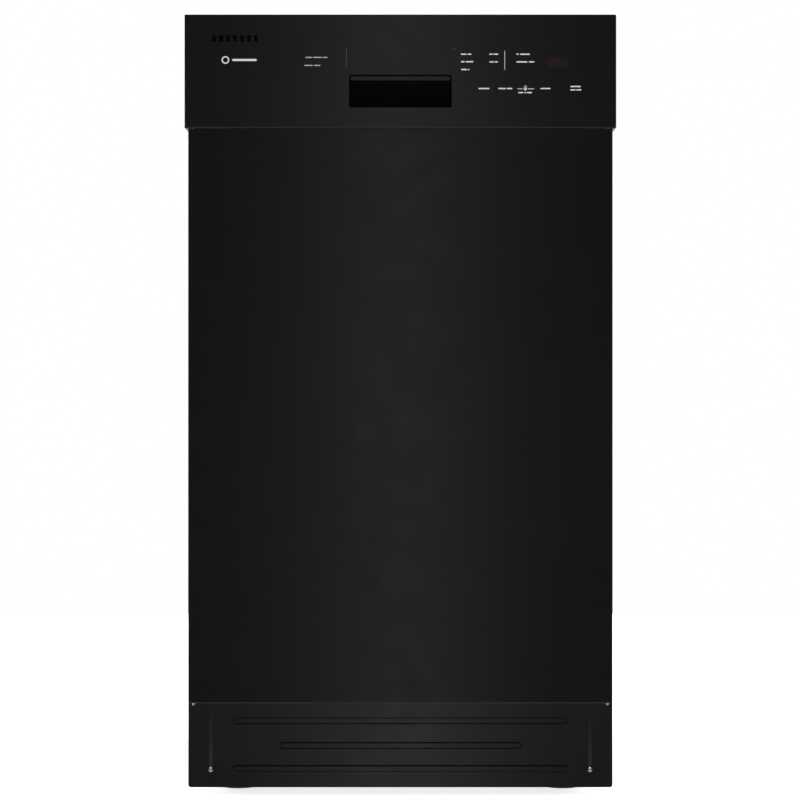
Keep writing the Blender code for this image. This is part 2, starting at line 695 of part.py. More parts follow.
def base_side(name, s):
    """One side wall of the base with its foot blocks, kick plate tab and spring anchor."""
    z0, z1 = BASE_LOW, BASE_HIGH
    side = BASE_HALF - BASE_SHEET
    low, high = z0 + 0.0002, z1 - 0.0002
    pieces = [side_box(f"base_{name}", s, side, BASE_HALF, BASE_FRONT, REAR - 0.001, low, high)]
    for end, y in FOOT_ROWS:
        front = BASE_FRONT + 0.0005 if end == "front" else y - FOOT_BLOCK_HALF
        back = REAR - 0.001 if end == "rear" else y + FOOT_BLOCK_HALF
        near = FOOT_X - 0.016
        pieces.append(
            side_box(f"block_{name}_{end}", s, near, BASE_HALF - 0.001, front, back, z0 + 0.0004, z0 + 0.024)
        )
    tab = KICK_TAB_FRONT
    far = SLOT_X + 0.008
    pieces.append(
        side_box(f"tab_{name}", s, BASE_HALF - 0.0012, far, tab, tab + 0.0025, z0 + 0.003, z1 - 0.012)
    )
    back = BASE_FRONT + 0.004
    pieces.append(
        side_box(f"tab_arm_{name}", s, side, BASE_HALF - 0.0003, tab + 0.0005, back, z0 + 0.004, z1 - 0.013)
    )
    anchor = SPRING_FRONT + SPRING_LENGTH + 0.010
    low, high = SPRING_Z - 0.008, SPRING_Z + 0.008
    pieces.append(
        side_box(f"anchor_{name}", s, BASE_HALF - 0.001, SPRING_X + 0.004, anchor, anchor + 0.003, low, high)
    )
    return pieces


def build_base():
    """A sheet steel frame: two sides, a rear wall, a front rail, foot blocks and tabs for the kick plate."""
    base = box("base_frame", (-BASE_HALF, REAR - BASE_SHEET, BASE_LOW), (BASE_HALF, REAR, BASE_HIGH))
    for name, s in both_sides():
        join(base, *base_side(name, s))
    reach = BASE_HALF - BASE_SHEET + 0.001
    rail_front = BASE_FRONT + 0.0008
    rail_low = BASE_LOW + 0.0006
    rail_rear, rail_high = rail_front + BASE_SHEET, BASE_LOW + 0.018
    rail = box("front_rail", (-reach, rail_front, rail_low), (reach, rail_rear, rail_high))
    join(base, rail)
    for side, s in both_sides():
        for end, y in FOOT_ROWS:
            x = s * FOOT_X
            drill = rod(f"foot_hole_{end}_{side}", (x, y, 0), (x, y, FOOT_TALL), FOOT_SHANK_R + RUN, 16)
            cut(base, drill)
        x = s * SLOT_X
        start, end = (x, KICK_TAB_FRONT - 0.01, SLOT_LOW), (x, BASE_FRONT + 0.02, SLOT_LOW)
        cut(base, rod(f"screw_hole_{side}", start, end, SCREW_R + RUN, 16))
    finish(base, "galvanised")


def build_feet():
    profile = (
        (0.0, FOOT_TALL),
        (FOOT_SHANK_R - 0.001, FOOT_TALL),
        (FOOT_SHANK_R, FOOT_TALL - 0.002),
        (FOOT_SHANK_R, 0.0065),
        (FOOT_PAD_R / 2, 0.0062),
        (FOOT_PAD_R, 0.0045),
        (FOOT_PAD_R, 0.0),
        (0.0, 0.0),
    )
    for side, s in both_sides():
        for end, y in FOOT_ROWS:
            foot = turned(f"foot_{end}_{side}", profile, (s * FOOT_X, y, 0.0), 16)
            finish(foot, "dark_plastic")


def build_kick_plate():
    back = KICK_FACE + KICK_SHEET
    radii = (KICK_CORNER_R, KICK_CORNER_R, 0.001, 0.001)
    outline = rounded_rectangle((-KICK_HALF, KICK_BOTTOM), (KICK_HALF, KICK_TOP), radii)
    plate = prism("kick_plate", outline, "Y", KICK_FACE, back)
    middle = (SLOT_LOW + SLOT_HIGH) / 2
    for place, length, rise in zip(("low", "mid", "high"), (LONG_RIB, SHORT_RIB, LONG_RIB), RIB_RISES):
        wide = stadium((0.0, KICK_BOTTOM + rise), length / 2, RIB_HEIGHT / 2)
        join(plate, prism(f"rib_{place}", wide, "Y", KICK_FACE - RIB_PROUD, KICK_FACE + KICK_SHEET / 2))
    low, high = KICK_BOTTOM + 0.006, KICK_TOP - 0.004
    for name, s in both_sides():
        near = KICK_HALF - KICK_SHEET
        join(plate, side_box(f"kick_fold_{name}", s, near, KICK_HALF, back - 0.0005, back + 0.007, low, high))
        half_length = (SLOT_HIGH - SLOT_LOW) / 2 + SLOT_WIDTH / 2
        slot = stadium((s * SLOT_X, middle), half_length, SLOT_WIDTH / 2, upright=True)
        cut(plate, prism(f"kick_slot_{name}", slot, "Y", KICK_FACE - 0.01, back + 0.01))
    finish(plate, "black_enamel")


def build_kick_screws():
    """A cross-headed screw in the foot of each slot."""
    z = SLOT_LOW
    seat = KICK_FACE - GAP
    top = seat - SCREW_HEAD_TALL
    for name, s in both_sides():
        x = s * SLOT_X
        crown = SCREW_HEAD_R * 0.62
        screw = rod(f"kick_screw_{name}", (x, top, z), (x, seat, z), crown, 20, SCREW_HEAD_R)
        shank = rod(f"kick_shank_{name}", (x, seat - 0.0016, z), (x, seat + 0.0164, z), SCREW_R, 12)
        join(screw, shank)
        arm, half, depth = 0.55 * SCREW_HEAD_R, 0.0004, top + 0.0012
        cut(
            screw,
            box(f"cross_a_{name}", (x - arm, top - 0.005, z - half), (x + arm, depth, z + half)),
            box(f"cross_b_{name}", (x - half, top - 0.005, z - arm), (x + half, depth, z + arm)),
        )
        finish(screw, "steel")


def build_hinge_brackets():
    """Each bracket is bolted to the base's side and reaches forward to carry the door's hinge pin."""
    tongue_x = INNER_HALF + GAP
    top = BASE_HIGH - 0.0025
    for name, s in both_sides():
        near, far = BASE_HALF + GAP, BASE_HALF + GAP + BRACKET_SHEET
        front, back = TUB_FRONT + 0.002, TUB_FRONT + 0.042
        bracket = side_box(f"hinge_bracket_{name}", s, near, far, front, back, top - BRACKET_HEIGHT, top)
        far = tongue_x + BRACKET_SHEET - 0.0003
        low, high = top - BRACKET_HEIGHT + 0.0004, HINGE_Z + 0.0005
        web = side_box(f"web_{name}", s, near + 0.0003, far, front + 0.0002, front + 0.0016, low, high)
        ring = arc((HINGE_Y, HINGE_Z), 0.007, 90, 270, 8)
        rear = TUB_FRONT + 0.0034
        outline = [*ring, (rear, HINGE_Z - 0.007), (rear, HINGE_Z + 0.007)]
        x0, x1 = sorted((s * tongue_x, s * (tongue_x + BRACKET_SHEET)))
        tongue = prism(f"tongue_{name}", outline, "X", x0, x1)
        pin = rod(
            f"pin_{name}",
            (s * (tongue_x + 0.0002), HINGE_Y, HINGE_Z),
            (s * (tongue_x + 0.0044), HINGE_Y, HINGE_Z),
            HINGE_PIN_R,
            16,
        )
        x = s * SPRING_X
        start, end = (x, front + 0.0004, SPRING_Z), (x, front + 0.046, SPRING_Z)
        guide = rod(f"guide_{name}", start, end, 0.006, 16)
        join(bracket, web, tongue, pin, guide)
        start, end = (x, front - 0.05, SPRING_Z), (x, front + 0.07, SPRING_Z)
        cut(bracket, rod(f"rope_hole_{name}", start, end, ROPE_R + 0.0025, 12))
        finish(bracket, "galvanised")


def build_springs():
    """The two long coil springs that balance the door, and the rope ends that pull them."""
    for name, s in both_sides():
        x = s * SPRING_X
        steps = SPRING_TURNS * 10
        points = []
        for i in range(steps + 1):
            turn = 2 * math.pi * i / 10
            y = SPRING_FRONT + SPRING_LENGTH * i / steps
            points.append((x + SPRING_R * math.cos(turn), y, SPRING_Z + SPRING_R * math.sin(turn)))
        spring = tube(f"door_spring_{name}", points, SPRING_WIRE, resolution=0)
        finish(spring, "galvanised", smooth=60.0)
        rear = SPRING_FRONT - 0.003
        link = rod(f"spring_link_{name}", (x, rear - 0.004, SPRING_Z), (x, rear, SPRING_Z), SPRING_R, 16)
        start, end = (x, rear - ROPE_LENGTH, SPRING_Z), (x, rear - 0.002, SPRING_Z)
        join(link, rod(f"rope_{name}", start, end, ROPE_R, 10))
        finish(link, "dark_plastic", origin=(x, rear, SPRING_Z))


def build_top_fixings():
    """The latch's strike over the door opening, and the two brackets that screw up into a counter."""
    top = TUB_CEILING + TUB_SHEET + GAP
    front = TUB_FRONT + 0.010
    reach = INNER_DOOR_TOP + 0.001
    strike = [
        (front - 0.024, reach),
        (front + 0.002, reach),
        (front + 0.002, top),
        (front + 0.020, top),
        (front + 0.020, top + 0.002),
        (front + 0.004, top + 0.002),
        (front + 0.004, reach + 0.002),
        (front - 0.024, reach + 0.002),
    ]
    finish(prism("strike_plate", strike, "X", -0.008, 0.008), "steel")
    for name, s in both_sides():
        sheet = 0.0015
        bracket = [
            (front - 0.002, top),
            (front + 0.020, top),
            (front + 0.020, top + sheet),
            (front - 0.002 + sheet, top + sheet),
            (front - 0.002 + sheet, HEIGHT - 0.001 - sheet),
            (front + 0.018, HEIGHT - 0.001 - sheet),
            (front + 0.018, HEIGHT - 0.001),
            (front - 0.002, HEIGHT - 0.001),
        ]
        x = s * (TUB_HALF - 0.059)
        piece = prism(f"counter_bracket_{name}", bracket, "X", x - 0.012, x + 0.012)
        start, end = (x, front + 0.010, HEIGHT - 0.03), (x, front + 0.010, HEIGHT + 0.02)
        cut(piece, rod(f"counter_hole_{name}", start, end, 0.0025, 12))
        finish(piece, "galvanised")


# ---------------------------------------------------------------- door
def build_door_outer():
    sheet = DOOR_SHEET
    rear = DOOR_INNER - 0.018
    low, high = (-DOOR_HALF, DOOR_FACE, DOOR_BOTTOM), (DOOR_HALF, rear, DOOR_TOP)
    pan = shell("door_outer_panel", low, high, "+Y", sheet)
    room = INNER_HALF + GAP
    front = DOOR_INNER - INNER_PAN_DEPTH - GAP
    cut(pan, box("pan_top_room", (-room, front, DOOR_TOP - 0.004), (room, rear + 0.01, DOOR_TOP + 0.004)))
    z0, z1 = DOOR_BOTTOM - 0.002, DOOR_BOTTOM + 0.002
    for name, s in both_sides():
        near, far = INNER_HALF - 0.001, DOOR_HALF - sheet - 0.0005
        cut(pan, side_box(f"hinge_notch_{name}", s, near, far, HINGE_Y - 0.0105, rear + 0.01, z0, z1))
    finish(pan, "black_enamel")


def build_door_inner():
    front = DOOR_INNER - INNER_PAN_DEPTH
    through = (DOOR_INNER - 0.013, DOOR_INNER + 0.007)
    low, high = (-INNER_HALF, front, HINGE_Z), (INNER_HALF, DOOR_INNER, INNER_DOOR_TOP)
    pan = shell("door_inner_panel", low, high, "-Y", DOOR_SHEET)
    vent = rod("vent_hole", (CAP_X, through[0], CAP_Z), (CAP_X, through[1], CAP_Z), CAP_R + GAP, 32)
    room = LATCH_HALF + 0.001
    notch_low, notch_high = (-room, front - 0.01, TUB_CEILING), (room, through[1], INNER_DOOR_TOP + 0.01)
    (x0, z0), (x1, z1) = DISPENSER_LOW, DISPENSER_HIGH
    hole = box("dispenser_hole", (x0 - GAP, through[0], z0 - GAP), (x1 + GAP, through[1], z1 + GAP))
    cut(pan, vent, box("latch_notch", notch_low, notch_high), hole)
    finish(pan, "stainless", origin=(0.0, HINGE_Y, HINGE_Z))


def console_vent_cutters():
    """A shallow recess under the top edge and the row of slots in it."""
    half = VENT_PITCH * VENT_SLOTS / 2 + VENT_MARGIN
    tall = VENT_SLOT_HEIGHT / 2 + VENT_MARGIN + 0.0007
    low, high = (VENT_X - half, VENT_Z - tall), (VENT_X + half, VENT_Z + tall)
    recess = rounded_rectangle(low, high, (0.001,) * 4, 1)
    cutters = [prism("vent_recess", recess, "Y", FRONT - 0.01, FRONT + VENT_RECESS)]
    z0, z1 = VENT_Z - VENT_SLOT_HEIGHT / 2, VENT_Z + VENT_SLOT_HEIGHT / 2
    for i in range(VENT_SLOTS):
        x = VENT_X + (i - (VENT_SLOTS - 1) / 2) * VENT_PITCH
        x0, x1 = x - VENT_SLOT_WIDTH / 2, x + VENT_SLOT_WIDTH / 2
        cutters.append(box(f"vent_slot_{i}", (x0, FRONT - 0.01, z0), (x1, FRONT + 0.01, z1)))
    return cutters


def build_console():
    rear = DOOR_INNER - 0.005
    low, high = (-WIDTH / 2, FRONT, CONSOLE_LOW), (WIDTH / 2, rear, HEIGHT)
    console = shell("console_fascia", low, high, "+Y", CONSOLE_WALL, corner=CONSOLE_EDGE_R)
    room = INNER_HALF + GAP
    front = DOOR_INNER - INNER_PAN_DEPTH - GAP
    foot_low, foot_high = (-room, front, CONSOLE_LOW - 0.01), (room, rear + 0.01, CONSOLE_LOW + 0.01)
    cut(console, box("console_foot_room", foot_low, foot_high))
    radii = (0.0026, 0.0026, 0.001, 0.001)
    opening = rounded_rectangle((-POCKET_HALF, POCKET_LOW), (POCKET_HALF, POCKET_HIGH), radii)
    cut(console, prism("pocket_opening", opening, "Y", FRONT - 0.01, FRONT + 0.02))
    cut(console, *console_vent_cutters())
    wide, tall = DISPLAY_SIZE
    x0, x1 = DISPLAY_X - wide / 2, DISPLAY_X + wide / 2
    z0, z1 = DISPLAY_Z - tall / 2, DISPLAY_Z + tall / 2
    cut(console, box("display_opening", (x0, FRONT - 0.01, z0), (x1, FRONT + 0.01, z1)))
    finish(console, "console_black")
    lens_low, lens_high = (x0 + GAP, FRONT + 0.0001, z0 + GAP), (x1 - GAP, FRONT + 0.0022, z1 - GAP)
    finish(box("display_lens", lens_low, lens_high), "display_glass")


def build_pocket():
    front = FRONT + CONSOLE_WALL + GAP
    half = POCKET_HALF + POCKET_LAP
    low, high = (-half, front, POCKET_LOW - 0.0035), (half, FRONT + POCKET_DEEP, POCKET_HIGH + POCKET_LAP)
    pocket = shell("handle_pocket", low, high, "-Y", POCKET_WALL)
    z0, z1 = POCKET_HIGH - 0.0037, POCKET_HIGH + 0.0113
    near, far = LEVER_ARM_X - 0.003, LEVER_ARM_X + 0.003
    for name, s in both_sides():
        cut(pocket, side_box(f"arm_slot_{name}", s, near, far, front - 0.002, FRONT + 0.013, z0, z1))
    finish(pocket, "dark_plastic")


def build_lever():
    """The bar across the top of the pocket, hung on an axle behind the console."""
    half = POCKET_HALF - 2 * RUN
    top = POCKET_HIGH - 2 * RUN
    low, high = (-half, FRONT + 0.0010, top - LEVER_TALL), (half, FRONT + 0.0010 + LEVER_DEEP, top)
    lever = made_mesh(rounded(box("latch_lever", low, high), 0.0006, segments=1))
    y, z = LEVER_PIVOT_Y, LEVER_PIVOT_Z
    reach = LEVER_ARM_X + 0.006
    join(lever, rod("lever_axle", (-reach, y, z), (reach, y, z), LEVER_AXLE_R, 12))
    near, far = LEVER_ARM_X - 0.002, LEVER_ARM_X + 0.002
    for name, s in both_sides():
        arm = side_box(f"lever_arm_{name}", s, near, far, y + 0.0005, y + 0.0055, top - 0.001, z + 0.0012)
        join(lever, arm)
    finish(lever, "console_black", origin=(0.0, y, z))


def build_latch():
    high = HEIGHT - CONSOLE_WALL - 0.0005
    low = high - LATCH_TALL
    latch = box("door_latch", (-LATCH_HALF, FRONT + 0.011, low), (LATCH_HALF, DOOR_INNER - 0.005, high))
    front, back = DOOR_INNER - 0.018, DOOR_INNER + 0.007
    cut(latch, box("latch_mouth", (-0.011, front, low + 0.006), (0.011, back, high - 0.002)))
    finish(latch, "dark_plastic")


def build_board():
    """The control board behind the keys, with its relays, coil and plug."""
    y = FRONT + CONSOLE_WALL + 0.004
    x0, z0 = POCKET_HALF + POCKET_LAP + 0.008, CONSOLE_LOW + 0.012
    board = box("control_board", (x0, y, z0), (WIDTH / 2 - 0.020, y + BOARD_SHEET, HEIGHT - 0.014))
    blocks = (
        (0.008, 0.010, 0.018, 0.022, 0.012),
        (0.036, 0.012, 0.016, 0.016, 0.016),
        (0.060, 0.012, 0.016, 0.016, 0.016),
        (0.096, 0.006, 0.032, 0.028, 0.020),
        (0.016, 0.059, 0.014, 0.014, 0.003),
    )
    for i, (right, up, wide, tall, deep) in enumerate(blocks):
        x, z = x0 + right, z0 + up
        high = (x + wide, y + BOARD_SHEET + deep, z + tall)
        join(board, box(f"chip_{i}", (x, y + BOARD_SHEET / 2, z), high))
    finish(board, "circuit_board")


def build_vent():
    """The duct from the round cap in the tub side of the door to the slots in the console."""
    front = FRONT + CONSOLE_WALL + GAP
    low, high = (CAP_X - 0.050, front, CAP_Z - 0.017), (CAP_X + 0.008, DOOR_INNER - 0.005, HEIGHT - 0.0165)
    vent = shell("door_vent", low, high, "-Y", 0.002)
    start, end = (CAP_X, DOOR_INNER - 0.0062, CAP_Z), (CAP_X, DOOR_INNER + 0.003, CAP_Z)
    neck = rod("vent_neck", start, end, CAP_R, 32)
    start, end = (CAP_X, DOOR_INNER + GAP, CAP_Z), (CAP_X, DOOR_INNER + 0.0044, CAP_Z)
    join(vent, neck, rod("vent_cap", start, end, CAP_R + 0.003, 32))
    finish(vent, "grey_plastic")


def build_door_seal():
    """The strip that closes the foot of the door opening, between the lower rack's wheel tracks."""
    y, low, high = DOOR_INNER + GAP, HINGE_Z + 0.004, HINGE_Z + 0.012
    section = [(y, low), (y + 0.0036, low), (y + 0.0020, high), (y, high)]
    half = WHEEL_X - WHEEL_WIDTH / 2 - 0.0015
    finish(prism("door_bottom_seal", section, "X", -half, half), "rubber")


def build_hinge_arms():
    inner = INNER_HALF + GAP + BRACKET_SHEET + GAP
    for name, s in both_sides():
        x0, x1 = sorted((s * inner, s * (inner + ARM_SHEET)))
        half = ARM_STRAP_LENGTH / 2
        strap = stadium((HINGE_Y, HINGE_Z - 0.009 + half), half, 0.009, upright=True)
        arm = prism(f"hinge_arm_{name}", strap, "X", x0, x1)
        start, end = (x0 - 0.01, HINGE_Y, HINGE_Z), (x1 + 0.01, HINGE_Y, HINGE_Z)
        cut(arm, rod(f"arm_eye_{name}", start, end, HINGE_PIN_R + 0.0003, 16))
        finish(arm, "galvanised")


def build_dispenser():
    (x0, z0), (x1, z1) = DISPENSER_LOW, DISPENSER_HIGH
    body = box("dispenser_body", (x0, DOOR_INNER - 0.029, z0), (x1, BODY_FACE, z1))
    rim = 0.005
    rim_low, rim_high = (x0 - rim, DOOR_INNER + GAP, z0 - rim), (x1 + rim, DOOR_INNER + 0.0026, z1 + rim)
    join(body, box("dispenser_rim", rim_low, rim_high))
    well = rounded_rectangle(CUP_LOW, CUP_HIGH, (0.010,) * 4, 2)
    cut(body, prism("detergent_well", well, "Y", DOOR_INNER - 0.020, BODY_FACE + 0.01))
    finish(body, "grey_plastic")


def build_dispenser_lid():
    (x0, z0), (x1, z1) = CUP_LOW, CUP_HIGH
    low, high = (x0 - 0.003, BODY_FACE + GAP, z0 - 0.003), (x1 + 0.003, BODY_FACE + 0.0034, z1 + 0.005)
    lid = made_mesh(rounded(box("dispenser_lid", low, high), 0.0008, segments=1))
    y, z = BODY_FACE + 0.0030, z0 - 0.0045
    join(lid, rod("lid_barrel", (x0 + 0.006, y, z), (x1 - 0.006, y, z), 0.0022, 12))
    finish(lid, "white_plastic", origin=((x0 + x1) / 2, y, z))


def build_rinse_cap():
    x, z = RINSE_XZ
    y = BODY_FACE + GAP
    cap = rod("rinse_aid_cap", (x, y, z), (x, y + 0.0040, z), RINSE_CAP_R, MID_SIDES)
    low, high = (x - 0.0125, y + 0.0026, z - 0.002), (x + 0.0125, y + 0.0076, z + 0.002)
    join(cap, box("cap_grip", low, high))
    finish(cap, "dark_plastic", origin=(x, y, z))


# ---------------------------------------------------------------- water side
def build_sump():
    top = BASIN_Z - 0.001 - TUB_SHEET - GAP
    low = BASIN_Z - SUMP_DEPTH
    profile = (
        (0.0, low + 0.004),
        (SUMP_R - 0.045, low + 0.004),
        (SUMP_R - 0.015, top - 0.030),
        (SUMP_R - 0.012, top),
        (SUMP_R + 0.004, top),
        (SUMP_R + 0.004, top - 0.004),
        (SUMP_R - 0.007, top - 0.004),
        (SUMP_R - 0.011, top - 0.032),
        (SUMP_R - 0.042, low),
        (0.0, low),
    )
    finish(turned("sump_housing", profile, (0.0, SUMP_Y, 0.0), 32), "dark_plastic")


def build_filter_plate():
    """A fine plate over the sump, with the post that the lower arm turns on."""
    low = BASIN_Z + GAP
    plate = rod("filter_plate", (0, SUMP_Y, low), (0, SUMP_Y, low + 0.0018), SUMP_R + 0.004, 40)
    start, end = (0, ARM_HUB_Y, low + 0.0005), (0, ARM_HUB_Y, LOWER_ARM_Z - RUN)
    foot = rod("arm_post_foot", start, end, 0.018, MID_SIDES, 0.015)
    start, end = (0, ARM_HUB_Y, low + 0.001), (0, ARM_HUB_Y, LOWER_ARM_Z + ARM_THICK + 0.0025)
    join(plate, foot, rod("arm_post", start, end, ARM_POST_R, MID_SIDES))
    start, end = (*FILTER_XY, BASIN_Z - 0.018), (*FILTER_XY, BASIN_Z + 0.032)
    cut(plate, rod("filter_seat", start, end, FILTER_R + RUN, 32))
    finish(plate, "stainless")


def build_filter_cylinder():
    """The filter that twists out of the sump, with a bar to hold it by."""
    wall = 0.0025
    profile = (
        (0.0, FILTER_TOP - 0.006),
        (FILTER_R - 0.006, FILTER_TOP - 0.006),
        (FILTER_R - 0.004, FILTER_TOP),
        (FILTER_R, FILTER_TOP - 0.001),
        (FILTER_R, FILTER_TOP - 0.030),
        (FILTER_R - 0.004, FILTER_LOW),
        (FILTER_R - 0.004 - wall, FILTER_LOW),
        (FILTER_R - wall, FILTER_TOP - 0.030),
        (FILTER_R - wall - 0.001, FILTER_TOP - 0.010),
        (0.0, FILTER_TOP - 0.010),
    )
    cylinder = made_mesh(turned("filter_cylinder", profile, (*FILTER_XY, 0.0), MID_SIDES))
    x, y = FILTER_XY
    reach = FILTER_R - 0.0055
    low, high = (x - reach, y - 0.003, FILTER_TOP - 0.007), (x + reach, y + 0.003, FILTER_TOP + 0.002)
    join(cylinder, box("filter_grip", low, high))
    finish(cylinder, "grey_plastic", origin=(x, y, FILTER_TOP))


def build_pumps():
    y, z = PUMP_Y, PUMP_Z
    pump = rod("wash_pump", (-0.062, y, z), (0.020, y, z), PUMP_R, MID_SIDES)
    volute = rod("volute", (0.018, y, z), (0.066, y, z), PUMP_R + 0.0035, MID_SIDES)
    mouth = rod("pump_mouth", (0.040, y - 0.010, z), (0.040, SUMP_Y + SUMP_R - 0.0115, z), 0.012, 16)
    join(pump, volute, mouth)
    finish(pump, "dark_plastic")
    far, near, z = -SUMP_R - 0.072, -SUMP_R - 0.012, PUMP_Z - 0.002
    drain = rod("drain_pump", (far, SUMP_Y, z), (near, SUMP_Y, z), DRAIN_R, MID_SIDES)
    mouth = rod("drain_mouth", (near - 0.002, SUMP_Y, z), (0.010 - SUMP_R, SUMP_Y, z), 0.009, 16)
    x, z = far + DRAIN_R, z + 0.005
    spout = rod("drain_spout", (x, SUMP_Y + 0.015, z), (x, SUMP_Y + 0.060, z), 0.008, 16)
    join(drain, mouth, spout)
    finish(drain, "dark_plastic")


def build_supply():
    """The water inlet valve at the rear and the mains junction box at the front."""
    x, y, z = BASE_HALF - 0.088, REAR - 0.067, 0.030
    valve = box("inlet_valve", (x, y, z), (x + 0.040, y + 0.046, z + 0.032))
    middle = x + 0.020
    port = rod("valve_port", (middle, y + 0.041, z + 0.016), (middle, y + 0.0615, z + 0.016), 0.011, 16)
    coil = rod("valve_coil", (middle, y + 0.018, z + 0.030), (middle, y + 0.018, z + 0.054), 0.011, 16)
    join(valve, port, coil)
    finish(valve, "white_plastic")
    x, y, z = 0.048 - BASE_HALF, BASE_FRONT + 0.024, 0.034
    finish(shell("junction_box", (x, y, z), (x + 0.058, y + 0.072, z + 0.038), "-Y", 0.0015), "galvanised")


def build_heater():
    turns = evenly(HEATER_GAP_ANGLE, 360 - HEATER_GAP_ANGLE, 37)
    points = []
    for turn in turns:
        a = math.radians(turn)
        points.append((HEATER_R * math.sin(a), SUMP_Y + HEATER_R * math.cos(a), HEATER_Z))
    drop = HEATER_Z - 0.0245
    start, end = points[0], points[-1]
    points = [(start[0], start[1], drop), *points, (end[0], end[1], drop)]
    finish(tube("heating_element", points, HEATER_WIRE, resolution=1), "heater_steel", smooth=60.0)


def build_feed_pipe():
    """The pipe from the wash pump, up behind the racks, to where the upper rack docks."""
    low, top = PUMP_Z + 0.003, MANIFOLD_Z
    points = [
        (0, PUMP_Y + PUMP_R + 0.005, low),
        (0, FEED_Y - 0.012, low),
        (0, FEED_Y - 0.0035, low + 0.0035),
        (0, FEED_Y, low + 0.012),
        (0, FEED_Y, top - 0.012),
        (0, FEED_Y - 0.0035, top - 0.0035),
        (0, FEED_Y - 0.012, top),
        (0, FEED_Y - 0.0255, top),
    ]
    finish(tube("feed_pipe", points, FEED_R, resolution=2), "grey_plastic", smooth=60.0)


def build_float():
    profile = (
        (0.0, BASIN_Z + 0.030),
        (0.009, BASIN_Z + 0.0285),
        (0.0145, BASIN_Z + 0.024),
        (0.016, BASIN_Z + 0.006),
        (0.0145, BASIN_Z + 0.006),
        (0.0125, BASIN_Z + 0.022),
        (FLOAT_STEM_R, BASIN_Z + 0.024),
        (FLOAT_STEM_R, BASIN_Z - 0.018),
        (0.0, BASIN_Z - 0.018),
    )
    finish(turned("overfill_float", profile, (*FLOAT_XY, 0.0), 16), "grey_plastic")


# ---------------------------------------------------------------- spray arms
def spray_arm(name, low):
    """A flat bar, wider at the hub, with round tips; it turns round its post."""
    centre = (0.0, ARM_HUB_Y)
    reach = ARM_LENGTH / 2
    tip, waist = 0.010, 0.017
    outline = [
        *arc((reach - tip, ARM_HUB_Y), tip, -90, 90, 5),
        (0.020, ARM_HUB_Y + waist),
        (-0.020, ARM_HUB_Y + waist),
        *arc((-reach + tip, ARM_HUB_Y), tip, 90, 270, 5),
        (-0.020, ARM_HUB_Y - waist),
        (0.020, ARM_HUB_Y - waist),
    ]
    arm = prism(name, outline, "Z", low + 0.001, low + ARM_THICK - 0.001)
    join(arm, rod(f"{name}_hub", (*centre, low), (*centre, low + ARM_THICK), ARM_HUB_R, MID_SIDES))
    start, end = (*centre, low - 0.01), (*centre, low + 0.03)
    cut(arm, rod(f"{name}_bore", start, end, ARM_POST_R + RUN, MID_SIDES))
    finish(arm, "grey_plastic", origin=(*centre, low + ARM_THICK / 2))


# ---------------------------------------------------------------- racks
def basket_paths(floor, rim, foot, top, cross_y, long_x):
    """Wire paths of a rack: U wires across it and U wires along it.

    foot and top are (half width, front, rear) of the rack at its floor and at its rim.
    """
    (fx, f_front, f_rear), (tx, t_front, t_rear) = foot, top
    across = [[(-tx, y, rim), (-fx, y, floor), (fx, y, floor), (tx, y, rim)] for y in cross_y]
    lift = 0.0011  # the lengthwise wires lie just on top of the crosswise ones
    along = []
    for x in long_x:
        path = [(x, t_front, rim), (x, f_front, floor), (x, f_rear, floor), (x, t_rear, rim)]
        path = [(px, py, pz + (lift if pz == floor else -lift)) for px, py, pz in path]
        along.append(path)
    return across, along


def ring_path(z, floor, rim, foot, top):
    """A rectangle round the rack at height z."""
    t = (z - floor) / (rim - floor)
    half, front, rear = (a + (b - a) * t for a, b in zip(foot, top, strict=True))
    return [(-half, front, z), (half, front, z), (half, rear, z), (-half, rear, z)]


def wire_rack(name, floor, rim, foot, top, cross_y, long_x, ring_levels):
    across, along = basket_paths(floor, rim, foot, top, cross_y, long_x)
    rack = wires(name, across, RACK_WIRE)
    join(rack, wires(f"{name}_along", along, RACK_WIRE * 0.96))
    rings = [ring_path(z, floor, rim, foot, top) for z in ring_levels]
    join(rack, wires(f"{name}_rings", rings, RACK_WIRE * RIM_STEP, closed=True))
    return rack


def build_lower_rack():
    floor, rim = LOWER_RACK_FLOOR, LOWER_RACK_RIM
    levels = (floor + 0.016, rim)
    rack = wire_rack("lower_rack", floor, rim, LOWER_FOOT, LOWER_TOP, LOWER_CROSS_Y, LOWER_LONG_X, levels)
    rows = [(a + b) / 2 for a, b in zip(LOWER_LONG_X[:2], LOWER_LONG_X[1:3], strict=True)]
    tines = [[(x, y, floor), (x + 0.004, y, floor + TINE_TALL)] for x in rows for y in LOWER_CROSS_Y[1:-1]]
    join(rack, wires("lower_tines", tines, RACK_WIRE * 0.88))
    foot = LOWER_FOOT[0]
    low, high = AXLE_Z - 2 * AXLE_R, floor + 0.020
    for name, s in both_sides():
        for i, y in enumerate(WHEEL_Y):
            near, far = foot - 0.0005, foot + 0.0035
            join(rack, side_box(f"hanger_{name}_{i}", s, near, far, y - 0.009, y + 0.009, low, high))
            start = (s * (foot + 0.0005), y, AXLE_Z)
            end = (s * (WHEEL_X + WHEEL_WIDTH / 2 + 0.0015), y, AXLE_Z)
            join(rack, rod(f"axle_{name}_{i}", start, end, AXLE_R, 12))
    finish(rack, "rack_vinyl")


def build_wheels():
    for name, s in both_sides():
        near, far = s * (WHEEL_X - WHEEL_WIDTH / 2), s * (WHEEL_X + WHEEL_WIDTH / 2)
        for end, y in zip(("front", "rear"), WHEEL_Y, strict=True):
            wheel = rod(f"rack_wheel_{end}_{name}", (near, y, AXLE_Z), (far, y, AXLE_Z), WHEEL_R, MID_SIDES)
            start, stop = (near - s * 0.01, y, AXLE_Z), (far + s * 0.01, y, AXLE_Z)
            cut(wheel, rod(f"wheel_bore_{end}_{name}", start, stop, AXLE_R + RUN, 12))
            finish(wheel, "grey_plastic", origin=(s * WHEEL_X, y, AXLE_Z))


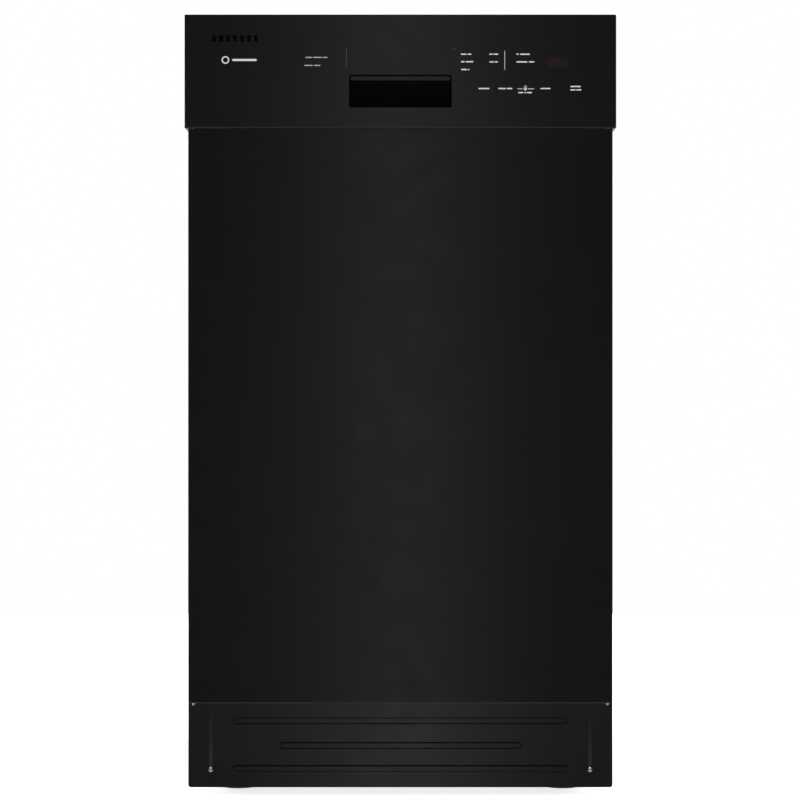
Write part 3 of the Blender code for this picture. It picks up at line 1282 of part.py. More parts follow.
def build_upper_rack():
    floor, rim = UPPER_RACK_FLOOR, UPPER_RACK_RIM
    levels = (ROLLER_Z, rim)
    rack = wire_rack("upper_rack", floor, rim, UPPER_FOOT, UPPER_TOP, UPPER_CROSS_Y, UPPER_LONG_X, levels)
    near, far = UPPER_TOP[0] - 0.0035, RAIL_OUTER - RAIL_SHEET - 0.0013
    for name, s in both_sides():
        for i, y in enumerate(ROLLER_Y):
            start, end = (s * near, y, ROLLER_Z), (s * far, y, ROLLER_Z)
            join(rack, rod(f"roller_{name}_{i}", start, end, ROLLER_R, 16))
    outer = -UPPER_TOP[0] - 0.0005
    for i, (y, side) in enumerate(zip(SHELF_ENDS, (-1, 1), strict=True)):
        y0, y1 = sorted((y + side * RUN, y + side * (RUN + 0.003)))
        join(rack, box(f"shelf_lug_{i}", (outer, y0, SHELF_Z - 0.005), (SHELF_X + 0.005, y1, rim)))
    start, end = (SHELF_X, SHELF_ENDS[0] - 0.02, SHELF_Z), (SHELF_X, SHELF_ENDS[1] + 0.02, SHELF_Z)
    cut(rack, rod("shelf_bore", start, end, SHELF_PIN_R + GAP, 12))
    finish(rack, "rack_vinyl")


def build_rails():
    """Channels that carry the upper rack's rollers and themselves run out with it."""
    inner, outer, sheet, lip = RAIL_INNER, RAIL_OUTER, RAIL_SHEET, RAIL_LIP
    low, high = ROLLER_Z - RAIL_TALL / 2, ROLLER_Z + RAIL_TALL / 2
    front, rear = TUB_FRONT + RAIL_END_ROOM[0], TUB_BACK - RAIL_END_ROOM[1]
    section = (
        (inner, low),
        (outer, low),
        (outer, high),
        (inner, high),
        (inner, high - lip),
        (inner + sheet, high - lip),
        (inner + sheet, high - sheet),
        (outer - sheet, high - sheet),
        (outer - sheet, low + sheet),
        (inner + sheet, low + sheet),
        (inner + sheet, low + lip),
        (inner, low + lip),
    )
    for name, s in both_sides():
        rail = prism(f"rack_rail_{name}", [(s * x, z) for x, z in section], "Y", front, rear)
        finish(rail, "stainless")


def build_manifold():
    """The pipe under the upper rack that feeds its spray arm; it docks on the feed pipe behind."""
    z, mouth = MANIFOLD_Z, FEED_Y - 0.0275
    pipe = tube("rack_manifold", [(0, mouth, z), (0, ARM_HUB_Y, z)], MANIFOLD_R, resolution=2)
    start, end = (0, mouth - 0.0165, z), (0, mouth, z)
    bell = rod("dock_bell", start, end, MANIFOLD_R + 0.0005, MID_SIDES, MANIFOLD_R + 0.0015)
    low = UPPER_ARM_Z + ARM_THICK + RUN
    shoulder = rod("hub_shoulder", (0, ARM_HUB_Y, low), (0, ARM_HUB_Y, z + 0.006), 0.016, MID_SIDES)
    post = rod("hub_post", (0, ARM_HUB_Y, UPPER_ARM_Z - 0.0025), (0, ARM_HUB_Y, z), ARM_POST_R, MID_SIDES)
    join(pipe, bell, shoulder, post)
    finish(pipe, "grey_plastic")


def build_cup_shelf():
    """A slotted flap on the upper rack's left, hinged so that it folds up."""
    y0, y1 = SHELF_ENDS
    half = SHELF_THICK / 2
    far = SHELF_X + SHELF_WIDTH
    shelf = box("cup_shelf", (SHELF_X, y0 + 0.001, SHELF_Z - half), (far, y1 - 0.001, SHELF_Z + half))
    count = 6
    room = (y1 - y0 - 0.002) / count
    for i in range(count):
        low = y0 + 0.001 + room * i + 0.003
        high = low + room - 0.006
        slot_low, slot_high = (SHELF_X + 0.012, low, SHELF_Z - 0.01), (far - 0.008, high, SHELF_Z + 0.01)
        slot = box(f"shelf_slot_{i}", slot_low, slot_high)
        cut(shelf, slot)
    barrel = rod("shelf_barrel", (SHELF_X, y0, SHELF_Z), (SHELF_X, y1, SHELF_Z), SHELF_PIN_R + 0.001, 12)
    start, end = (SHELF_X, y0 - 0.005, SHELF_Z), (SHELF_X, y1 + 0.005, SHELF_Z)
    join(shelf, barrel, rod("shelf_pin", start, end, SHELF_PIN_R, 12))
    finish(shelf, "rack_vinyl", origin=(SHELF_X, (y0 + y1) / 2, SHELF_Z))


def build_silverware_basket():
    """A long three-part basket standing along the right of the lower rack, with a bridge to lift it by."""
    wide, long, tall = BASKET_SIZE
    x1, y0, z0 = LOWER_FOOT[0] - BASKET_SIDE_ROOM, LOWER_FOOT[1] + BASKET_SETBACK, LOWER_RACK_FLOOR + 0.005
    x0, y1, z1 = x1 - wide, y0 + long, z0 + tall
    basket = shell("silverware_basket", (x0, y0, z0), (x1, y1, z1), "+Z", BASKET_WALL)
    x, half = (x0 + x1) / 2, BASKET_WALL / 2
    walls = (y0 + long / 3, y0 + 2 * long / 3)
    for i, y in enumerate(walls):
        low, high = (x0 + half, y - half, z0 + half), (x1 - half, y + half, z1 - 0.004)
        join(basket, box(f"divider_{i}", low, high))
        low, high = (x - 0.007, y - 0.0016, z1 - 0.030), (x + 0.007, y + 0.0016, z1 + 0.034)
        join(basket, box(f"handle_post_{i}", low, high))
    low, high = (x - 0.006, walls[0] - 0.002, z1 + 0.0315), (x + 0.006, walls[1] + 0.002, z1 + 0.038)
    join(basket, box("handle_bar", low, high))
    finish(basket, "grey_plastic")


def build_all():
    build_tub()
    build_tub_floor()
    build_blanket()
    build_gasket()
    build_base()
    build_feet()
    build_kick_plate()
    build_kick_screws()
    build_hinge_brackets()
    build_springs()
    build_top_fixings()
    build_door_outer()
    build_door_inner()
    build_console()
    build_pocket()
    build_lever()
    build_latch()
    build_board()
    build_vent()
    build_door_seal()
    build_hinge_arms()
    build_dispenser()
    build_dispenser_lid()
    build_rinse_cap()
    build_sump()
    build_filter_plate()
    build_filter_cylinder()
    build_pumps()
    build_supply()
    build_heater()
    build_feed_pipe()
    build_float()
    spray_arm("lower_spray_arm", LOWER_ARM_Z)
    spray_arm("upper_spray_arm", UPPER_ARM_Z)
    build_lower_rack()
    build_wheels()
    build_upper_rack()
    build_rails()
    build_manifold()
    build_cup_shelf()
    build_silverware_basket()


build_all()
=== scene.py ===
"""Looks for the built-in dishwasher: fine surfaces, wire racks, seals and finishes round the CAD frame."""

import json
import math

import bmesh
import bpy
from mathutils import Matrix, Vector

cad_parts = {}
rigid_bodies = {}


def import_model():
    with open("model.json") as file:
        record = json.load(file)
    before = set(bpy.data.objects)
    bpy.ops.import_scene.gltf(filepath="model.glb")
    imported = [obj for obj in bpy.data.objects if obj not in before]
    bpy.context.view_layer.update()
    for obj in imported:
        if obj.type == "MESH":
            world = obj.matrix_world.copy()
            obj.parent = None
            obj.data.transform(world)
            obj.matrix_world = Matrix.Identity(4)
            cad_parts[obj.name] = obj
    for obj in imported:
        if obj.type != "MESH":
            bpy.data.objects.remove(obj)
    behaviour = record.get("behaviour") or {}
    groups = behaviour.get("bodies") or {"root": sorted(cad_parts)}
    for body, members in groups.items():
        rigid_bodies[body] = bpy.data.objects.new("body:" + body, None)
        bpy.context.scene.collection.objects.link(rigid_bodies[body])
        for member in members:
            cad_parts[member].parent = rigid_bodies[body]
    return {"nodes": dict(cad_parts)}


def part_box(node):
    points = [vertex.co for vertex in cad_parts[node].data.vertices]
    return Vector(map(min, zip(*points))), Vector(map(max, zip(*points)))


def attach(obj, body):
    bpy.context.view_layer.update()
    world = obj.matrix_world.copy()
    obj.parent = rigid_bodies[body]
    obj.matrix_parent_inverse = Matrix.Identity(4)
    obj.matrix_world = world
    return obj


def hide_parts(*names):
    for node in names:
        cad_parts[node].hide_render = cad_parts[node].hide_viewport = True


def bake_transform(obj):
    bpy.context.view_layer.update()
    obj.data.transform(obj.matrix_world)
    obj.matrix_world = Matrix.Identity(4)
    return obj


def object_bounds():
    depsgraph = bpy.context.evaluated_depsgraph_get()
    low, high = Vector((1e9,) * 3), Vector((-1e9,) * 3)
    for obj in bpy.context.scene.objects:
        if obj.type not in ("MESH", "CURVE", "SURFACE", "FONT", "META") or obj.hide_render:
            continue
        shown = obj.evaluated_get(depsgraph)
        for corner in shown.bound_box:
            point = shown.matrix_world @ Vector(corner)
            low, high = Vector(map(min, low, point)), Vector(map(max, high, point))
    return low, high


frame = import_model()
CAD_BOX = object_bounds()


# ---------------------------------------------------------------- node materials
def socket(tree, kind, inputs, **settings):
    """Adds a node, sets or links its inputs by name or number, and returns it."""
    node = tree.nodes.new(kind)
    for key, value in settings.items():
        setattr(node, key, value)
    for key, value in inputs.items():
        if isinstance(value, bpy.types.NodeSocket):
            tree.links.new(value, node.inputs[key])
        else:
            node.inputs[key].default_value = value
    return node


def place(tree, scale=(1, 1, 1), turn=(0, 0, 0), shift=(0, 0, 0)):
    coord = tree.nodes.new("ShaderNodeTexCoord")
    inputs = {"Vector": coord.outputs["Object"], "Scale": scale, "Rotation": turn, "Location": shift}
    return socket(tree, "ShaderNodeMapping", inputs).outputs[0]


def noise(tree, vector, scale, detail=3.0, roughness=0.55):
    return socket(
        tree, "ShaderNodeTexNoise",
        {"Vector": vector, "Scale": scale, "Detail": detail, "Roughness": roughness},
    ).outputs[0]


def spread(tree, value, low, high, start=0.25, end=0.75):
    ranged = {"Value": value, "From Min": start, "From Max": end, "To Min": low, "To Max": high}
    return socket(tree, "ShaderNodeMapRange", ranged).outputs[0]


def ramp(tree, value, stops):
    node = socket(tree, "ShaderNodeValToRGB", {"Fac": value})
    band = node.color_ramp
    while len(band.elements) < len(stops):
        band.elements.new(0.5)
    for element, (at, color) in zip(band.elements, stops, strict=True):
        element.position = at
        element.color = (*color, 1.0)
    return node.outputs[0]


def shade(color, by):
    return tuple(min(1.0, c * by) for c in color)


def base_material(name, rough, metal=0.0, gloss=0.5):
    made = bpy.data.materials.new(name)
    made.use_nodes = True
    tree = made.node_tree
    shader = tree.nodes["Principled BSDF"]
    shader.inputs["Roughness"].default_value = rough
    shader.inputs["Metallic"].default_value = metal
    shader.inputs["Specular IOR Level"].default_value = gloss
    return made, tree, shader


def bumped(tree, shader, heights, distance):
    """Layers of bump: (height, strength) from broad to fine."""
    normal = None
    for height, strength in heights:
        inputs = {"Height": height, "Strength": strength, "Distance": distance}
        if normal is not None:
            inputs["Normal"] = normal
        normal = socket(tree, "ShaderNodeBump", inputs).outputs[0]
    tree.links.new(normal, shader.inputs["Normal"])


def moulded(name, color, rough, grain=2600.0, bump=0.10, vary=0.10, metal=0.0, gloss=0.5, rough_vary=0.06):
    """Moulded or coated: faint cloudiness, uneven sheen and a fine grain."""
    made, tree, shader = base_material(name, rough, metal, gloss)
    where = place(tree)
    cloud = noise(tree, where, 14.0)
    fine = noise(tree, where, grain, 2.0)
    tone = ramp(tree, cloud, ((0.3, shade(color, 1 - vary)), (0.7, shade(color, 1 + vary))))
    tree.links.new(tone, shader.inputs["Base Color"])
    sheen = noise(tree, where, 55.0, 5.0)
    tree.links.new(spread(tree, sheen, rough - rough_vary, rough + rough_vary), shader.inputs["Roughness"])
    bumped(tree, shader, ((sheen, bump * 0.25), (fine, bump)), 0.0002)
    return made


def enamel(name, color, rough, peel, gloss):
    """Black sprayed enamel: orange peel, a few dust specks and a barely uneven gloss."""
    made, tree, shader = base_material(name, rough, gloss=gloss)
    where = place(tree)
    cloud = noise(tree, where, 9.0, 4.0)
    specks = noise(tree, where, 700.0, 1.0, 0.9)
    tone = ramp(tree, cloud, ((0.3, shade(color, 0.92)), (0.7, shade(color, 1.08))))
    dust = ramp(tree, specks, ((0.0, (0, 0, 0)), (0.78, (0, 0, 0)), (0.84, shade(color, 1.6))))
    mixed = socket(tree, "ShaderNodeMix", {0: 1.0, 6: tone, 7: dust}, data_type="RGBA", blend_type="ADD")
    tree.links.new(mixed.outputs[2], shader.inputs["Base Color"])
    tree.links.new(
        spread(tree, noise(tree, where, 40.0, 4.0), rough - 0.02, rough + 0.03), shader.inputs["Roughness"],
    )
    bumped(
        tree, shader, ((noise(tree, where, 420.0, 2.0), peel), (noise(tree, where, 1900.0, 1.0), peel * 0.5)),
        0.0001,
    )
    return made


def brushed(name, color, rough, stretch, spots=0.04, bump=0.12):
    """Brushed sheet: long scratches along one way, and faint water marks."""
    made, tree, shader = base_material(name, rough, 1.0)
    lines = noise(tree, place(tree, stretch), 1.0, 4.0, 0.7)
    marks = noise(tree, place(tree), 22.0, 5.0, 0.65)
    tone = ramp(
        tree, marks, ((0.30, shade(color, 1 - spots)), (0.62, color), (0.80, shade(color, 1 + spots * 0.6))),
    )
    streak = ramp(tree, lines, ((0.2, (0.86, 0.86, 0.86)), (0.8, (1.0, 1.0, 1.0))))
    mixed = socket(
        tree, "ShaderNodeMix", {0: 1.0, 6: tone, 7: streak}, data_type="RGBA", blend_type="MULTIPLY",
    )
    tree.links.new(mixed.outputs[2], shader.inputs["Base Color"])
    rougher = socket(
        tree, "ShaderNodeMath",
        {0: spread(tree, lines, -0.05, 0.05), 1: spread(tree, marks, rough - 0.010, rough + 0.025)},
    )
    tree.links.new(rougher.outputs[0], shader.inputs["Roughness"])
    bumped(tree, shader, ((lines, bump),), 0.00006)
    return made


def galvanised(name):
    """Hot-dipped zinc with its crystal spangle, dulled in patches."""
    made, tree, shader = base_material(name, 0.42, 1.0)
    where = place(tree)
    cells = socket(tree, "ShaderNodeTexVoronoi", {"Vector": where, "Scale": 150.0, "Randomness": 1.0})
    grey = socket(tree, "ShaderNodeRGBToBW", {"Color": cells.outputs["Color"]}).outputs[0]
    tone = ramp(tree, grey, ((0.1, (0.40, 0.42, 0.44)), (0.5, (0.55, 0.57, 0.58)), (0.9, (0.68, 0.69, 0.70))))
    tree.links.new(tone, shader.inputs["Base Color"])
    tree.links.new(spread(tree, noise(tree, where, 30.0), 0.34, 0.56), shader.inputs["Roughness"])
    bumped(tree, shader, ((grey, 0.05), (noise(tree, where, 900.0), 0.10)), 0.0001)
    return made


def felt(name):
    """Needled dark felt with lighter fibres."""
    made, tree, shader = base_material(name, 0.95, gloss=0.15)
    where = place(tree)
    fibres = noise(tree, place(tree, (1.0, 0.25, 1.0), (0.3, 0.5, 0.8)), 900.0, 6.0, 0.75)
    lumps = noise(tree, where, 60.0, 4.0)
    tone = ramp(
        tree, fibres,
        ((0.30, (0.020, 0.021, 0.023)), (0.58, (0.050, 0.051, 0.054)), (0.74, (0.16, 0.16, 0.165))),
    )
    tree.links.new(tone, shader.inputs["Base Color"])
    shader.inputs["Sheen Weight"].default_value = 0.35
    shader.inputs["Sheen Roughness"].default_value = 0.6
    bumped(tree, shader, ((lumps, 0.5), (fibres, 0.8)), 0.0010)
    return made


def board_green(name):
    """Solder mask over copper tracks."""
    made, tree, shader = base_material(name, 0.35)
    where = place(tree, (1, 1, 1), (math.radians(90), 0, 0))
    tracks = socket(
        tree, "ShaderNodeTexBrick",
        {
            "Vector": where, "Scale": 60.0, "Mortar Size": 0.03, "Color1": (0.010, 0.085, 0.035, 1),
            "Color2": (0.012, 0.10, 0.042, 1), "Mortar": (0.06, 0.26, 0.10, 1),
        },
    )
    tree.links.new(tracks.outputs["Color"], shader.inputs["Base Color"])
    bumped(tree, shader, ((noise(tree, where, 400.0), 0.1),), 0.0002)
    return made


def heated(name):
    """Sheathed element: dull nickel alloy with straw and blue heat tints."""
    made, tree, shader = base_material(name, 0.38, 1.0)
    where = place(tree)
    tints = noise(tree, where, 18.0, 4.0)
    tone = ramp(
        tree, tints,
        (
            (0.30, (0.15, 0.13, 0.12)), (0.48, (0.30, 0.25, 0.19)), (0.60, (0.24, 0.22, 0.26)),
            (0.75, (0.38, 0.36, 0.34)),
        ),
    )
    tree.links.new(tone, shader.inputs["Base Color"])
    tree.links.new(spread(tree, noise(tree, where, 200.0), 0.30, 0.50), shader.inputs["Roughness"])
    bumped(tree, shader, ((noise(tree, where, 1200.0), 0.15),), 0.0001)
    return made


def smoked_painted_glow(name, rough, edge, middle):
    """Smoked window with a painted glow: its colour is a dim brown in the middle, fading to the black round it."""
    made, tree, shader = base_material(name, rough, gloss=0.42)
    low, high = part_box("display_lens")
    centre, reach = (low + high) / 2, (high - low) * 0.62
    scale = (1 / reach.x, 1.0, 1 / reach.z)
    where = place(tree, scale, shift=(-centre.x * scale[0], -centre.y, -centre.z * scale[2]))
    glow = socket(tree, "ShaderNodeTexGradient", {"Vector": where}, gradient_type="SPHERICAL").outputs["Fac"]
    painted_glow_mask = socket(
        tree, "ShaderNodeMath", {0: glow, 1: spread(tree, noise(tree, place(tree), 160.0), -0.05, 0.05)},
    ).outputs[0]
    # painted glow: the colour runs from brown in the window's middle to black at its edges
    tree.links.new(ramp(tree, painted_glow_mask, ((0.02, edge), (0.62, middle))), shader.inputs["Base Color"])
    bumped(tree, shader, ((noise(tree, place(tree), 900.0), 0.01),), 0.0001)
    return made


MAT = {
    "enamel": enamel("black_enamel_finish", (0.0040, 0.0040, 0.0041), 0.19, 0.012, 0.42),
    "kick": enamel("kick_enamel_finish", (0.0050, 0.0050, 0.0051), 0.20, 0.014, 0.64),
    "console": moulded(
        "console_finish", (0.0042, 0.0042, 0.0043), 0.20, bump=0.010, gloss=0.51, rough_vary=0.02,
    ),
    "base": moulded("base_paint_finish", (0.012, 0.012, 0.0125), 0.50, vary=0.15),
    "cavity": moulded("cavity_black", (0.0035, 0.0035, 0.0036), 0.55, gloss=0.25),
    "dark": moulded("dark_plastic_finish", (0.020, 0.020, 0.021), 0.46),
    "grey": moulded("grey_plastic_finish", (0.235, 0.245, 0.255), 0.48),
    "pale": moulded("white_plastic_finish", (0.66, 0.66, 0.64), 0.42, vary=0.04),
    "vinyl": moulded("rack_nylon_finish", (0.27, 0.28, 0.295), 0.36, grain=1500.0, bump=0.07, vary=0.07),
    "rubber": moulded("seal_rubber_finish", (0.016, 0.016, 0.017), 0.68, bump=0.2),
    "tub": brushed("tub_steel_finish", (0.56, 0.56, 0.555), 0.36, (40, 1600, 1600)),
    "liner": brushed("liner_steel_finish", (0.56, 0.56, 0.555), 0.36, (1600, 1600, 40)),
    "zinc": galvanised("zinc_finish"),
    "bright": brushed("bright_steel_finish", (0.66, 0.66, 0.67), 0.24, (900, 900, 900), bump=0.05),
    "heater": heated("element_finish"),
    "felt": felt("felt_finish"),
    "board": board_green("board_finish"),
    "ink": moulded("pale_ink", (0.40, 0.41, 0.42), 0.55, bump=0.02, vary=0.03),
    "soft_ink": moulded("soft_ink", (0.24, 0.24, 0.245), 0.55, bump=0.02, vary=0.03),
    "dim_ink": moulded("dim_ink", (0.035, 0.035, 0.036), 0.55, bump=0.02, vary=0.03),
    "gauge": moulded("gauge_window", (0.020, 0.012, 0.008), 0.15, bump=0.01, vary=0.15),
    # the display window's colour carries a painted glow, brown in its middle and black at its edges
    "window": smoked_painted_glow("display_window", 0.26, (0.0046, 0.0046, 0.0047), (0.021, 0.0105, 0.0055)),
    "segment": moulded("display_segments", (0.034, 0.017, 0.009), 0.30, bump=0.01, vary=0.05),
}


# ---------------------------------------------------------------- making pieces
def piece(name, data, finish, body, smooth=35.0, stands_for=()):
    """A mesh (or a bmesh) as a named piece that rides on a body."""
    if isinstance(data, bmesh.types.BMesh):
        mesh = bpy.data.meshes.new(name)
        data.to_mesh(mesh)
        data.free()
        data = mesh
    obj = bpy.data.objects.new(name, data)
    bpy.context.scene.collection.objects.link(obj)
    data.materials.clear()
    data.materials.append(MAT[finish])
    if obj.type == "MESH":
        data.shade_smooth()
        data.set_sharp_from_angle(angle=math.radians(smooth))
        even = obj.modifiers.new("even_shading", "WEIGHTED_NORMAL")
        even.keep_sharp = True
    if body:
        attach(obj, body)
    if stands_for:
        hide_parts(*stands_for)
    return obj


def block(bm, low, high, radius=0.0, segments=2):
    """Adds a box with rounded edges to a mesh under construction."""
    low, high = Vector(low), Vector(high)
    size = Matrix.Diagonal((*(high - low), 1.0))
    made = bmesh.ops.create_cube(bm, size=1.0, matrix=Matrix.Translation((low + high) / 2) @ size)
    if radius:
        edges = list({e for v in made["verts"] for e in v.link_edges})
        bmesh.ops.bevel(bm, geom=edges, offset=radius, segments=segments, profile=0.5, affect="EDGES")


def rod(bm, start, end, radius, sides=24, end_radius=None):
    start, end = Vector(start), Vector(end)
    along = end - start
    turn = along.to_track_quat("Z", "Y").to_matrix().to_4x4()
    far = radius if end_radius is None else end_radius
    where = Matrix.Translation((start + end) / 2) @ turn
    bmesh.ops.create_cone(
        bm, cap_ends=True, segments=sides, radius1=radius, radius2=far, depth=along.length, matrix=where,
    )


def bar(start, end, radius, sides=24, end_radius=None):
    """A round bar as a mesh of its own."""
    bm = bmesh.new()
    rod(bm, start, end, radius, sides, end_radius)
    return bm


def bridge(bm, rows, closed):
    """Faces between neighbouring rows of points; closed rows come round to their start."""
    for first, second in zip(rows, rows[1:]):
        count = len(first)
        for i in range(count if closed else count - 1):
            j = (i + 1) % count
            bm.faces.new((first[i], first[j], second[j], second[i]))


def blocks(*items, radius=0.0004, segments=2):
    bm = bmesh.new()
    for low, high in items:
        block(bm, low, high, radius, segments)
    return bm


def lathe(profile, where, axis="Z", sides=48):
    """Turned about an axis through where; the profile's points are (radius, distance along the axis)."""
    bm = bmesh.new()
    rows = []
    for radius, along in profile:
        if radius < 1e-6:
            rows.append([bm.verts.new((0, 0, along))])
            continue
        turns = [2 * math.pi * i / sides for i in range(sides)]
        rows.append([bm.verts.new((radius * math.cos(a), radius * math.sin(a), along)) for a in turns])
    for upper, lower in zip(rows, rows[1:]):
        for i in range(sides):
            j = (i + 1) % sides
            corners = [
                upper[i % len(upper)], upper[j % len(upper)], lower[j % len(lower)], lower[i % len(lower)],
            ]
            face = list(dict.fromkeys(corners))
            if len(face) > 2:
                bm.faces.new(face)
    quarter = math.radians(90)
    turn = {"Z": Matrix(), "Y": Matrix.Rotation(quarter, 4, "X"), "X": Matrix.Rotation(quarter, 4, "Y")}[axis]
    bmesh.ops.recalc_face_normals(bm, faces=bm.faces)
    bmesh.ops.transform(bm, matrix=Matrix.Translation(where) @ turn, verts=bm.verts)
    return bm


def wire(name, paths, radius, finish, body, slot, closed=False, sides=2, stands_for=()):
    """Round bar along each path, as a curve with filled ends."""
    curve = bpy.data.curves.new(name, "CURVE")
    curve.dimensions = "3D"
    curve.bevel_depth = radius
    curve.bevel_resolution = sides
    curve.use_fill_caps = not closed
    for points in paths:
        spline = curve.splines.new("POLY")
        spline.points.add(len(points) - 1)
        spline.use_cyclic_u = closed
        for point, spot in zip(spline.points, points, strict=True):
            point.co = (*spot, 1.0)
    holder = bpy.data.objects.new(name, curve)
    bpy.context.scene.collection.objects.link(holder)
    bpy.context.view_layer.update()
    mesh = bpy.data.meshes.new_from_object(holder.evaluated_get(bpy.context.evaluated_depsgraph_get()))
    bpy.data.objects.remove(holder, do_unlink=True)
    bm = bmesh.new()
    bm.from_mesh(mesh)
    bmesh.ops.remove_doubles(bm, verts=bm.verts, dist=1e-6)
    bm.to_mesh(mesh)
    bm.free()
    return piece(name, mesh, finish, body, 50.0, stands_for)


def eased(points, radius, steps=4, closed=False):
    """The same path with its corners bent to a radius, as wire is."""
    points = [Vector(p) for p in points]
    count = len(points)
    out = []
    for i, here in enumerate(points):
        if not closed and i in (0, count - 1):
            out.append(here)
            continue
        before, after = points[i - 1], points[(i + 1) % count]
        a, b = before - here, after - here
        reach = min(radius, a.length * 0.45, b.length * 0.45)
        start, end = here + a.normalized() * reach, here + b.normalized() * reach
        for k in range(steps + 1):
            t = k / steps
            out.append(start * (1 - t) ** 2 + here * 2 * t * (1 - t) + end * t * t)
    return out


def arc(centre, radius, start, end, steps):
    turns = [math.radians(start + (end - start) * i / steps) for i in range(steps + 1)]
    return [(centre[0] + radius * math.cos(a), centre[1] + radius * math.sin(a)) for a in turns]


def rounded_rectangle(low, high, radius, steps=6):
    (x0, y0), (x1, y1) = low, high
    r = radius
    corners = ((x0 + r, y0 + r, 180), (x1 - r, y0 + r, 270), (x1 - r, y1 - r, 0), (x0 + r, y1 - r, 90))
    return [p for x, y, start in corners for p in arc((x, y), r, start, start + 90, steps)]


def stadium(x, z, half_length, radius, upright=False, steps=10):
    straight = half_length - radius
    if upright:
        return arc((x, z + straight), radius, 0, 180, steps) + arc((x, z - straight), radius, 180, 360, steps)
    return arc((x + straight, z), radius, -90, 90, steps) + arc((x - straight, z), radius, 90, 270, steps)


def plate(outline, front, back, axis="Y"):
    """A flat outline given thickness along an axis; for Y the outline is in X and Z."""
    spot = {
        "Y": lambda u, v, w: (u, w, v), "Z": lambda u, v, w: (u, v, w), "X": lambda u, v, w: (w, u, v),
    }[axis]
    bm = bmesh.new()
    near = [bm.verts.new(spot(u, v, front)) for u, v in outline]
    far = [bm.verts.new(spot(u, v, back)) for u, v in outline]
    bm.faces.new(near)
    bm.faces.new(far[::-1])
    for i in range(len(outline)):
        j = (i + 1) % len(outline)
        bm.faces.new((near[j], near[i], far[i], far[j]))
    bmesh.ops.recalc_face_normals(bm, faces=bm.faces)
    return bm


def merged(bms):
    """Several bmeshes as one; their shapes stay as they are."""
    whole = bmesh.new()
    for bm in bms:
        mesh = bpy.data.meshes.new("part")
        bm.to_mesh(mesh)
        bm.free()
        whole.from_mesh(mesh)
        bpy.data.meshes.remove(mesh)
    return whole


def loose(bm, name="tool"):
    mesh = bpy.data.meshes.new(name)
    bm.to_mesh(mesh)
    bm.free()
    obj = bpy.data.objects.new(name, mesh)
    bpy.context.scene.collection.objects.link(obj)
    return obj


def worked(bm, cuts=(), joins=(), wall=0.0, edge=0.0, segments=2, angle=40.0):
    """A mesh after sheet thickness, cuts and joins with other bmeshes, then softened edges."""
    obj = loose(bm)
    tools = []
    if wall:
        solid = obj.modifiers.new("sheet", "SOLIDIFY")
        solid.thickness, solid.offset, solid.use_even_offset = wall, -1.0, True
    for operation, shapes in (("UNION", joins), ("DIFFERENCE", cuts)):
        for shape in shapes:
            tool = loose(shape)
            tools.append(tool)
            boolean = obj.modifiers.new("shape", "BOOLEAN")
            boolean.operation, boolean.solver, boolean.object = operation, "EXACT", tool
    if edge:
        bevel = obj.modifiers.new("edge", "BEVEL")
        bevel.width, bevel.segments, bevel.limit_method = edge, segments, "ANGLE"
        bevel.angle_limit = math.radians(angle)
    bpy.context.view_layer.update()
    mesh = bpy.data.meshes.new_from_object(obj.evaluated_get(bpy.context.evaluated_depsgraph_get()))
    for done in (obj, *tools):
        bpy.data.objects.remove(done, do_unlink=True)
    return mesh


def pan(low, high, open_side, radius, segments=4):
    """The skin of a five-sided box with rounded edges, ready for a sheet thickness."""
    bm = bmesh.new()
    low, high = Vector(low), Vector(high)
    axis = "XYZ".index(open_side[1])
    sign = 1 if open_side[0] == "+" else -1
    size = Matrix.Diagonal((*(high - low), 1.0))
    bmesh.ops.create_cube(bm, size=1.0, matrix=Matrix.Translation((low + high) / 2) @ size)
    bmesh.ops.delete(bm, geom=[f for f in bm.faces if f.normal[axis] * sign > 0.5], context="FACES")
    edges = [e for e in bm.edges if len(e.link_faces) == 2]
    bmesh.ops.bevel(bm, geom=edges, offset=radius, segments=segments, profile=0.5, affect="EDGES")
    return bm


def pressed(us, vs, spot, wall=0.0, keep=None):
    """A sheet over a grid: spot(u, v) gives each point, and keep(u, v) says which cells exist."""
    bm = bmesh.new()
    grid = [[bm.verts.new(spot(u, v)) for v in vs] for u in us]
    for i in range(len(us) - 1):
        for j in range(len(vs) - 1):
            if keep and not keep((us[i] + us[i + 1]) / 2, (vs[j] + vs[j + 1]) / 2):
                continue
            bm.faces.new((grid[i][j], grid[i + 1][j], grid[i + 1][j + 1], grid[i][j + 1]))
    for v in [v for v in bm.verts if not v.link_faces]:
        bm.verts.remove(v)
    return worked(bm, wall=wall) if wall else bm


def steps(low, high, size):
    count = max(1, round((high - low) / size))
    return [low + (high - low) * i / count for i in range(count + 1)]


def soft_step(t):
    t = min(1.0, max(0.0, t))
    return t * t * (3 - 2 * t)


def inside(u, v, low, high, radius):
    """Distance inside a rounded rectangle, in metres; negative outside it."""
    cu, cv = (low[0] + high[0]) / 2, (low[1] + high[1]) / 2
    du = abs(u - cu) - (high[0] - low[0]) / 2 + radius
    dv = abs(v - cv) - (high[1] - low[1]) / 2 + radius
    outside = math.hypot(max(du, 0.0), max(dv, 0.0))
    return radius - outside - min(max(du, dv), 0.0)


SIDES = {"left": -1, "right": 1}


FACE_Y = CAD_BOX[0].y  # console face
LINER_FACE = -0.2566  # the door's stainless face, towards the tub
LEVER_AXLE = (-0.306, 0.758)  # y and z
LEVER_TOP = 0.7484
LID_AXLE = (-0.246, 0.3895)  # y and z
WHEEL_YS = (-0.150, 0.203)
AXLE_Z = 0.1333
ROLLER_YS = (-0.040, 0.200)
ROLLER_Z = 0.5725
SHELF_AXLE = (-0.178, 0.600)  # x and z
LEDGE_Z = 0.116  # where the lower rack's wheels run
BASIN_Z = 0.098
SUMP_Y = -0.015
FILTER_Y = -0.058
FILTER_TOP = 0.112


